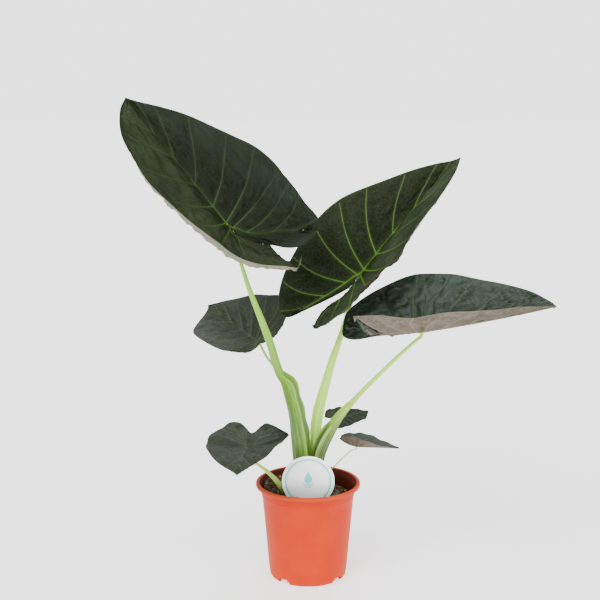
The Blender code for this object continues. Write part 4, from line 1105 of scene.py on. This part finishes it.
def build_bits(mat):
    """Crumbs, bark chips, roots, grit and a few pale wood bits on the compost."""
    shapes = {k: lump_mesh(k) for k in ("crumb", "fibre")}
    verts, faces, tone = [], [], []

    def drop(kind, x, y, z, size, turn, tint):
        v, f = shapes[kind]
        v = v * (1 + 0.28 * (RNG.random(v.shape) - 0.5)) * size
        rot = np.array(Matrix.Rotation(turn[2], 3, "Z") @ Matrix.Rotation(turn[0], 3, "X")
                       @ Matrix.Rotation(turn[1], 3, "Y"))
        v = v @ rot.T + (x, y, z)
        start = len(verts)
        verts.extend(v.tolist())
        tone.extend([tint] * len(v))
        faces.extend([tuple(start + i for i in q) for q in f])

    for _ in range(2300):
        r = 0.0715 * math.sqrt(RNG.random())
        a = 2 * math.pi * RNG.random()
        x, y = r * math.cos(a), r * math.sin(a)
        s = 0.0016 + 0.0042 * RNG.random() ** 2.2
        room = wall_in(min(soil_z(x, y), 0.1375)) - 0.0008 - s * 0.62
        if r > room:
            x, y = x * room / r, y * room / r
        u = RNG.random()
        tint = 0.45 * RNG.random() if u < 0.66 else (0.50 + 0.26 * RNG.random() if u < 0.90
               else (0.80 + 0.05 * RNG.random() if u < 0.965 else 0.90 + 0.02 * RNG.random()))
        size = np.array([s * (0.8 + 0.7 * RNG.random()), s * (0.7 + 0.4 * RNG.random()),
                         s * (0.35 + 0.45 * RNG.random())])
        z = soil_z(x, y) + 0.0004 + s * 0.20 * RNG.random()
        drop("crumb", x, y, z, size, (0.9 * (RNG.random() - 0.5), 0.9 * (RNG.random() - 0.5),
                                      6.28 * RNG.random()), tint)
    for _ in range(170):
        r = 0.064 * math.sqrt(RNG.random())
        a = 2 * math.pi * RNG.random()
        x, y = r * math.cos(a), r * math.sin(a)
        length = 0.005 + 0.009 * RNG.random()
        room = 0.0700 - length / 2
        if r > room:
            x, y = x * room / r, y * room / r
        d = 0.0004 + 0.0006 * RNG.random()
        drop("fibre", x, y, soil_z(x, y) + 0.0018 + 0.002 * RNG.random(), np.array([d, d, length]),
             (1.35 + 0.3 * RNG.random(), 0.2 * RNG.random(), 6.28 * RNG.random()),
             0.52 + 0.28 * RNG.random())
    # larger bark and a pale peeled stick beside the left-hand stalk
    for x, y, z, size, turn, tint in (
            (-0.052, 0.020, 0.1545, (0.013, 0.006, 0.004), (0.2, 0.3, 0.4), 0.60),
            (-0.046, 0.034, 0.1530, (0.010, 0.007, 0.003), (0.3, -0.2, 1.6), 0.74),
            (-0.060, -0.006, 0.1545, (0.011, 0.006, 0.004), (-0.2, 0.1, 2.2), 0.55),
            (-0.036, 0.044, 0.1500, (0.012, 0.005, 0.004), (0.2, 0.4, 0.9), 0.70),
            (-0.055, -0.026, 0.1525, (0.009, 0.006, 0.005), (0.1, 0.1, 0.2), 0.85),
            (0.030, 0.040, 0.1380, (0.012, 0.007, 0.004), (0.1, 0.1, 0.6), 0.50),
            (0.046, 0.020, 0.1350, (0.009, 0.006, 0.004), (0.2, 0.1, 2.0), 0.86),
            (0.012, -0.050, 0.1420, (0.010, 0.006, 0.004), (0.2, 0.1, 0.3), 0.62)):
        drop("crumb", x, y, z, np.array(size), turn, tint)
    drop("fibre", -0.037, 0.006, 0.1535, np.array([0.0026, 0.0022, 0.013]), (0.9, 0.3, 0.5), 1.0)
    drop("fibre", -0.043, 0.014, 0.1530, np.array([0.0016, 0.0016, 0.010]), (1.2, -0.3, 2.0), 0.97)
    ob = make("compost_bits", verts, faces, [mat], None, dict(tone=tone))
    for q in ob.data.polygons:
        q.use_smooth = False
    return ob


def build_corm(mat):
    prof = [(0.0, 0.1502), (0.010, 0.1503), (0.0165, 0.1500), (0.0190, 0.1490), (0.0201, 0.1470),
            (0.0204, 0.1440), (0.0205, 0.1400), (0.0204, 0.1360), (0.0203, 0.1320),
            (0.0175, 0.1180), (0.0100, 0.1132), (0.0, 0.1121)]
    steps = 72
    verts, faces, rows = [], [], []
    for r, z in prof:
        if r < 1e-9:
            verts.append((0, 0, z))
            rows.append([len(verts) - 1] * steps)
            continue
        row = []
        for k in range(steps):
            a = 2 * math.pi * k / steps
            rr = r * (1 - 0.020 * (1 + math.sin(7 * a + 90 * z)) * 0.5) \
                - 0.0006 * abs(noise.noise(Vector((math.cos(a) * 5, math.sin(a) * 5, z * 400))))
            verts.append((rr * math.cos(a), rr * math.sin(a), z))
            row.append(len(verts) - 1)
        rows.append(row)
    for r0, r1 in zip(rows, rows[1:]):
        for k in range(steps):
            m = (k + 1) % steps
            q = [r0[k], r1[k], r1[m], r0[m]]
            r = [v for j, v in enumerate(q) if v != q[j - 1]]
            if len(r) > 2:
                faces.append(tuple(r))
    ob = make("old_corm", verts, faces, [mat])
    bm = bmesh.new()
    bm.from_mesh(ob.data)
    bmesh.ops.recalc_face_normals(bm, faces=bm.faces)
    bm.to_mesh(ob.data)
    bm.free()
    return ob


# ---------------------------------------------------------------------- tag
def build_tag(mat):
    """Round card with a soft edge and a pointed stake, cut from one sheet."""
    R, w, drop_to, t = 0.042, 0.007, 0.098, 0.0008
    open_half = math.asin(w / R)
    ring = []
    n = 120
    for i in range(n + 1):
        a = -math.pi / 2 + open_half + (2 * math.pi - 2 * open_half) * i / n
        ring.append((R * math.cos(a), R * math.sin(a)))
    stake = [(-w, -0.055), (-w, -drop_to + 0.012), (-0.0008, -drop_to), (0.0008, -drop_to),
             (w, -drop_to + 0.012), (w, -0.055)]
    pts = ring + stake
    inset = []
    m = len(pts)
    for i, (x, y) in enumerate(pts):
        x0, y0 = pts[i - 1]
        x1, y1 = pts[(i + 1) % m]
        tx, ty = x1 - x0, y1 - y0
        ln = math.hypot(tx, ty)
        inset.append((x - ty / ln * 0.00022, y + tx / ln * 0.00022))
    verts, card, faces = [], [], []
    layers = [(inset, -t / 2, 1.0), (pts, -t / 2 + 0.0002, 0.0), (pts, t / 2 - 0.0002, 0.0),
              (inset, t / 2, 0.0)]
    for outline, depth, front in layers:
        for x, y in outline:
            verts.append((x, -0.0455 + depth, 0.173 + y))
            card.append((x, y, front))
    for k in range(3):
        for i in range(m):
            j = (i + 1) % m
            faces.append((k * m + i, k * m + j, (k + 1) * m + j, (k + 1) * m + i))
    # the two flat faces, each one polygon, cut into triangles below
    for base, front, y_at in ((0, 1.0, -0.0455 - t / 2), (3 * m, 0.0, -0.0455 + t / 2)):
        faces.append(tuple(base + i for i in range(m)) if base else tuple(base + i for i in range(m))[::-1])
    ob = make("plant_tag", verts, faces, [mat], None, dict(card=card))
    bm = bmesh.new()
    bm.from_mesh(ob.data)
    bmesh.ops.recalc_face_normals(bm, faces=bm.faces)
    bmesh.ops.triangulate(bm, faces=[f for f in bm.faces if len(f.verts) > 4])
    bm.to_mesh(ob.data)
    bm.free()
    ob.data.set_sharp_from_angle(angle=0.9)
    return ob


# ----------------------------------------------------------------- assembly
UNDER = leaf_under("leaf_under", (0.085, 0.066, 0.050), (0.115, 0.088, 0.066), (0.15, 0.145, 0.085))
# painted shade: a darker copy of the underside, for the centre leaf
UNDER_SHADED = leaf_under("leaf_under_painted_shade", (0.030, 0.028, 0.014), (0.050, 0.034, 0.024), (0.075, 0.085, 0.035))
UNDER_GREEN = leaf_under("leaf_under_green", (0.12, 0.13, 0.08), (0.16, 0.15, 0.10), (0.22, 0.24, 0.12))
# the third colour of each top is its painted grey sheen; the last argument paints a paler, lit half
TOP_A = leaf_top("leaf_top_dull", (0.0024, 0.0048, 0.0008), (0.0046, 0.0078, 0.0016), (0.0085, 0.0125, 0.0058),
                 (0.034, 0.095, 0.014), (0.026, 0.038, 0.012), 0.75, 0.30, 0.10,
                 ((-1, (0.024, 0.034, 0.014), 0.85, 0.0, 0.3), (1, (0.018, 0.027, 0.019), 0.6, 0.45, 0.9)))
TOP_B = leaf_top("leaf_top_green", (0.0018, 0.0044, 0.0004), (0.0038, 0.0072, 0.0008), (0.0085, 0.0125, 0.0045),
                 (0.070, 0.165, 0.014), (0.055, 0.085, 0.024), 0.95, 0.30, 0.09,
                 ((1, (0.034, 0.046, 0.026), 0.8, 0.0, 0.3), (-1, (0.014, 0.020, 0.008), 0.5, 0.6, 0.95)))
TOP_C = leaf_top("leaf_top_blue", (0.006, 0.012, 0.006), (0.014, 0.024, 0.014), (0.027, 0.042, 0.032),
                 (0.040, 0.080, 0.018), (0.030, 0.052, 0.018), 0.80, 0.40, 0.32,
                 ((-1, (0.024, 0.038, 0.030), 0.3, 0.3, 0.9),))
TOP_S = leaf_top("leaf_top_small", (0.010, 0.016, 0.008), (0.020, 0.028, 0.015), (0.034, 0.043, 0.030),
                 (0.055, 0.085, 0.032), (0.050, 0.066, 0.036), 0.70, 0.36, 0.2)
STALK_A = stalk_skin("stalk_green", (0.042, 0.115, 0.004), (0.30, 0.62, 0.02), (0.32, 0.60, 0.05), 0.23, 0.60)
STALK_B = stalk_skin("stalk_pale", (0.34, 0.70, 0.02), (0.42, 0.74, 0.06), (0.62, 0.84, 0.26), 0.16, 0.36)
STALK_C = stalk_skin("stalk_light", (0.014, 0.045, 0.002), (0.38, 0.66, 0.04), (0.56, 0.80, 0.18), 0.215, 0.345)
STALK_S = stalk_skin("stalk_small", (0.10, 0.17, 0.012), (0.30, 0.44, 0.06), (0.42, 0.54, 0.14), 0.14, 0.21)

settle(build_pot(pot_plastic()), "pot", "pot")
settle(build_soil(compost()), "compost", "soil")
settle(build_bits(chip_bark()), "compost")
settle(build_corm(corm_skin()), "corm", "corm")
settle(build_tag(tag_print()), "tag", "plant_label")

FACES = {"upper_left": (TOP_A, UNDER_GREEN), "centre": (TOP_B, UNDER_SHADED), "right": (TOP_C, UNDER),
         "middle_left": (TOP_S, UNDER), "lower_left": (TOP_S, UNDER_GREEN), "small_back": (TOP_S, UNDER),
         "small_right": (TOP_C, UNDER), "sprout": (TOP_S, UNDER_GREEN)}
SKINS = {"upper_left": STALK_A, "centre": STALK_B, "right": STALK_C}
for key in BLADES:
    small = key in ("small_back", "small_right", "sprout")
    settle(build_blade("leaf_" + key, BLADES[key], FACES[key], 1 if small else 2), "leaf", "blade_" + key)
    settle(build_stalk("petiole_" + key, key, SKINS.get(key, STALK_S),
                       sides=24 if key not in SKINS else 48), "stalk", "stalk_" + key)

# -------------------------------------------------------------------- stage
me = bpy.data.meshes.new("floor")
bm = bmesh.new()
bmesh.ops.create_circle(bm, cap_ends=True, segments=96, radius=14.0)
bm.to_mesh(me)
bm.free()
floor = bpy.data.objects.new("floor", me)
SCENE.collection.objects.link(floor)
g = Nodes("pale_floor", rough=0.7, spec=0.2)
soft = g.noise(g.position(), 3.0, 3.0, 0.5)
g.color(g.mix(soft, (0.88, 0.88, 0.88), (0.92, 0.92, 0.92)))
g.b.inputs["Emission Color"].default_value = (1.0, 1.0, 1.0, 1.0)
g.b.inputs["Emission Strength"].default_value = 1.0
me.materials.append(g.mat)

world = bpy.data.worlds.new("studio")
world.use_nodes = True
wt = world.node_tree
wt.nodes["Background"].inputs[0].default_value = (1.0, 1.0, 1.0, 1.0)
seen_by = wt.nodes.new("ShaderNodeLightPath")
pick = wt.nodes.new("ShaderNodeMapRange")
wt.links.new(seen_by.outputs["Is Camera Ray"], pick.inputs[0])
pick.inputs[3].default_value = 0.72        # what lights the plant
pick.inputs[4].default_value = 2.75         # the plain backdrop
wt.links.new(pick.outputs[0], wt.nodes["Background"].inputs[1])
SCENE.world = world


def soft_sun(name, toward, strength, spread):
    li = bpy.data.lights.new(name, "SUN")
    li.energy = strength
    li.angle = math.radians(spread)
    ob = bpy.data.objects.new(name, li)
    SCENE.collection.objects.link(ob)
    ob.rotation_euler = (-Vector(toward)).to_track_quat("-Z", "Y").to_euler()
    return ob


# each is named by where its light comes from
soft_sun("key", (-0.55, -0.85, 1.00), 3.6, 40.0)
soft_sun("fill", (0.80, -0.90, 0.45), 2.3, 60.0)
soft_sun("back", (0.25, 0.80, 1.10), 1.5, 50.0)
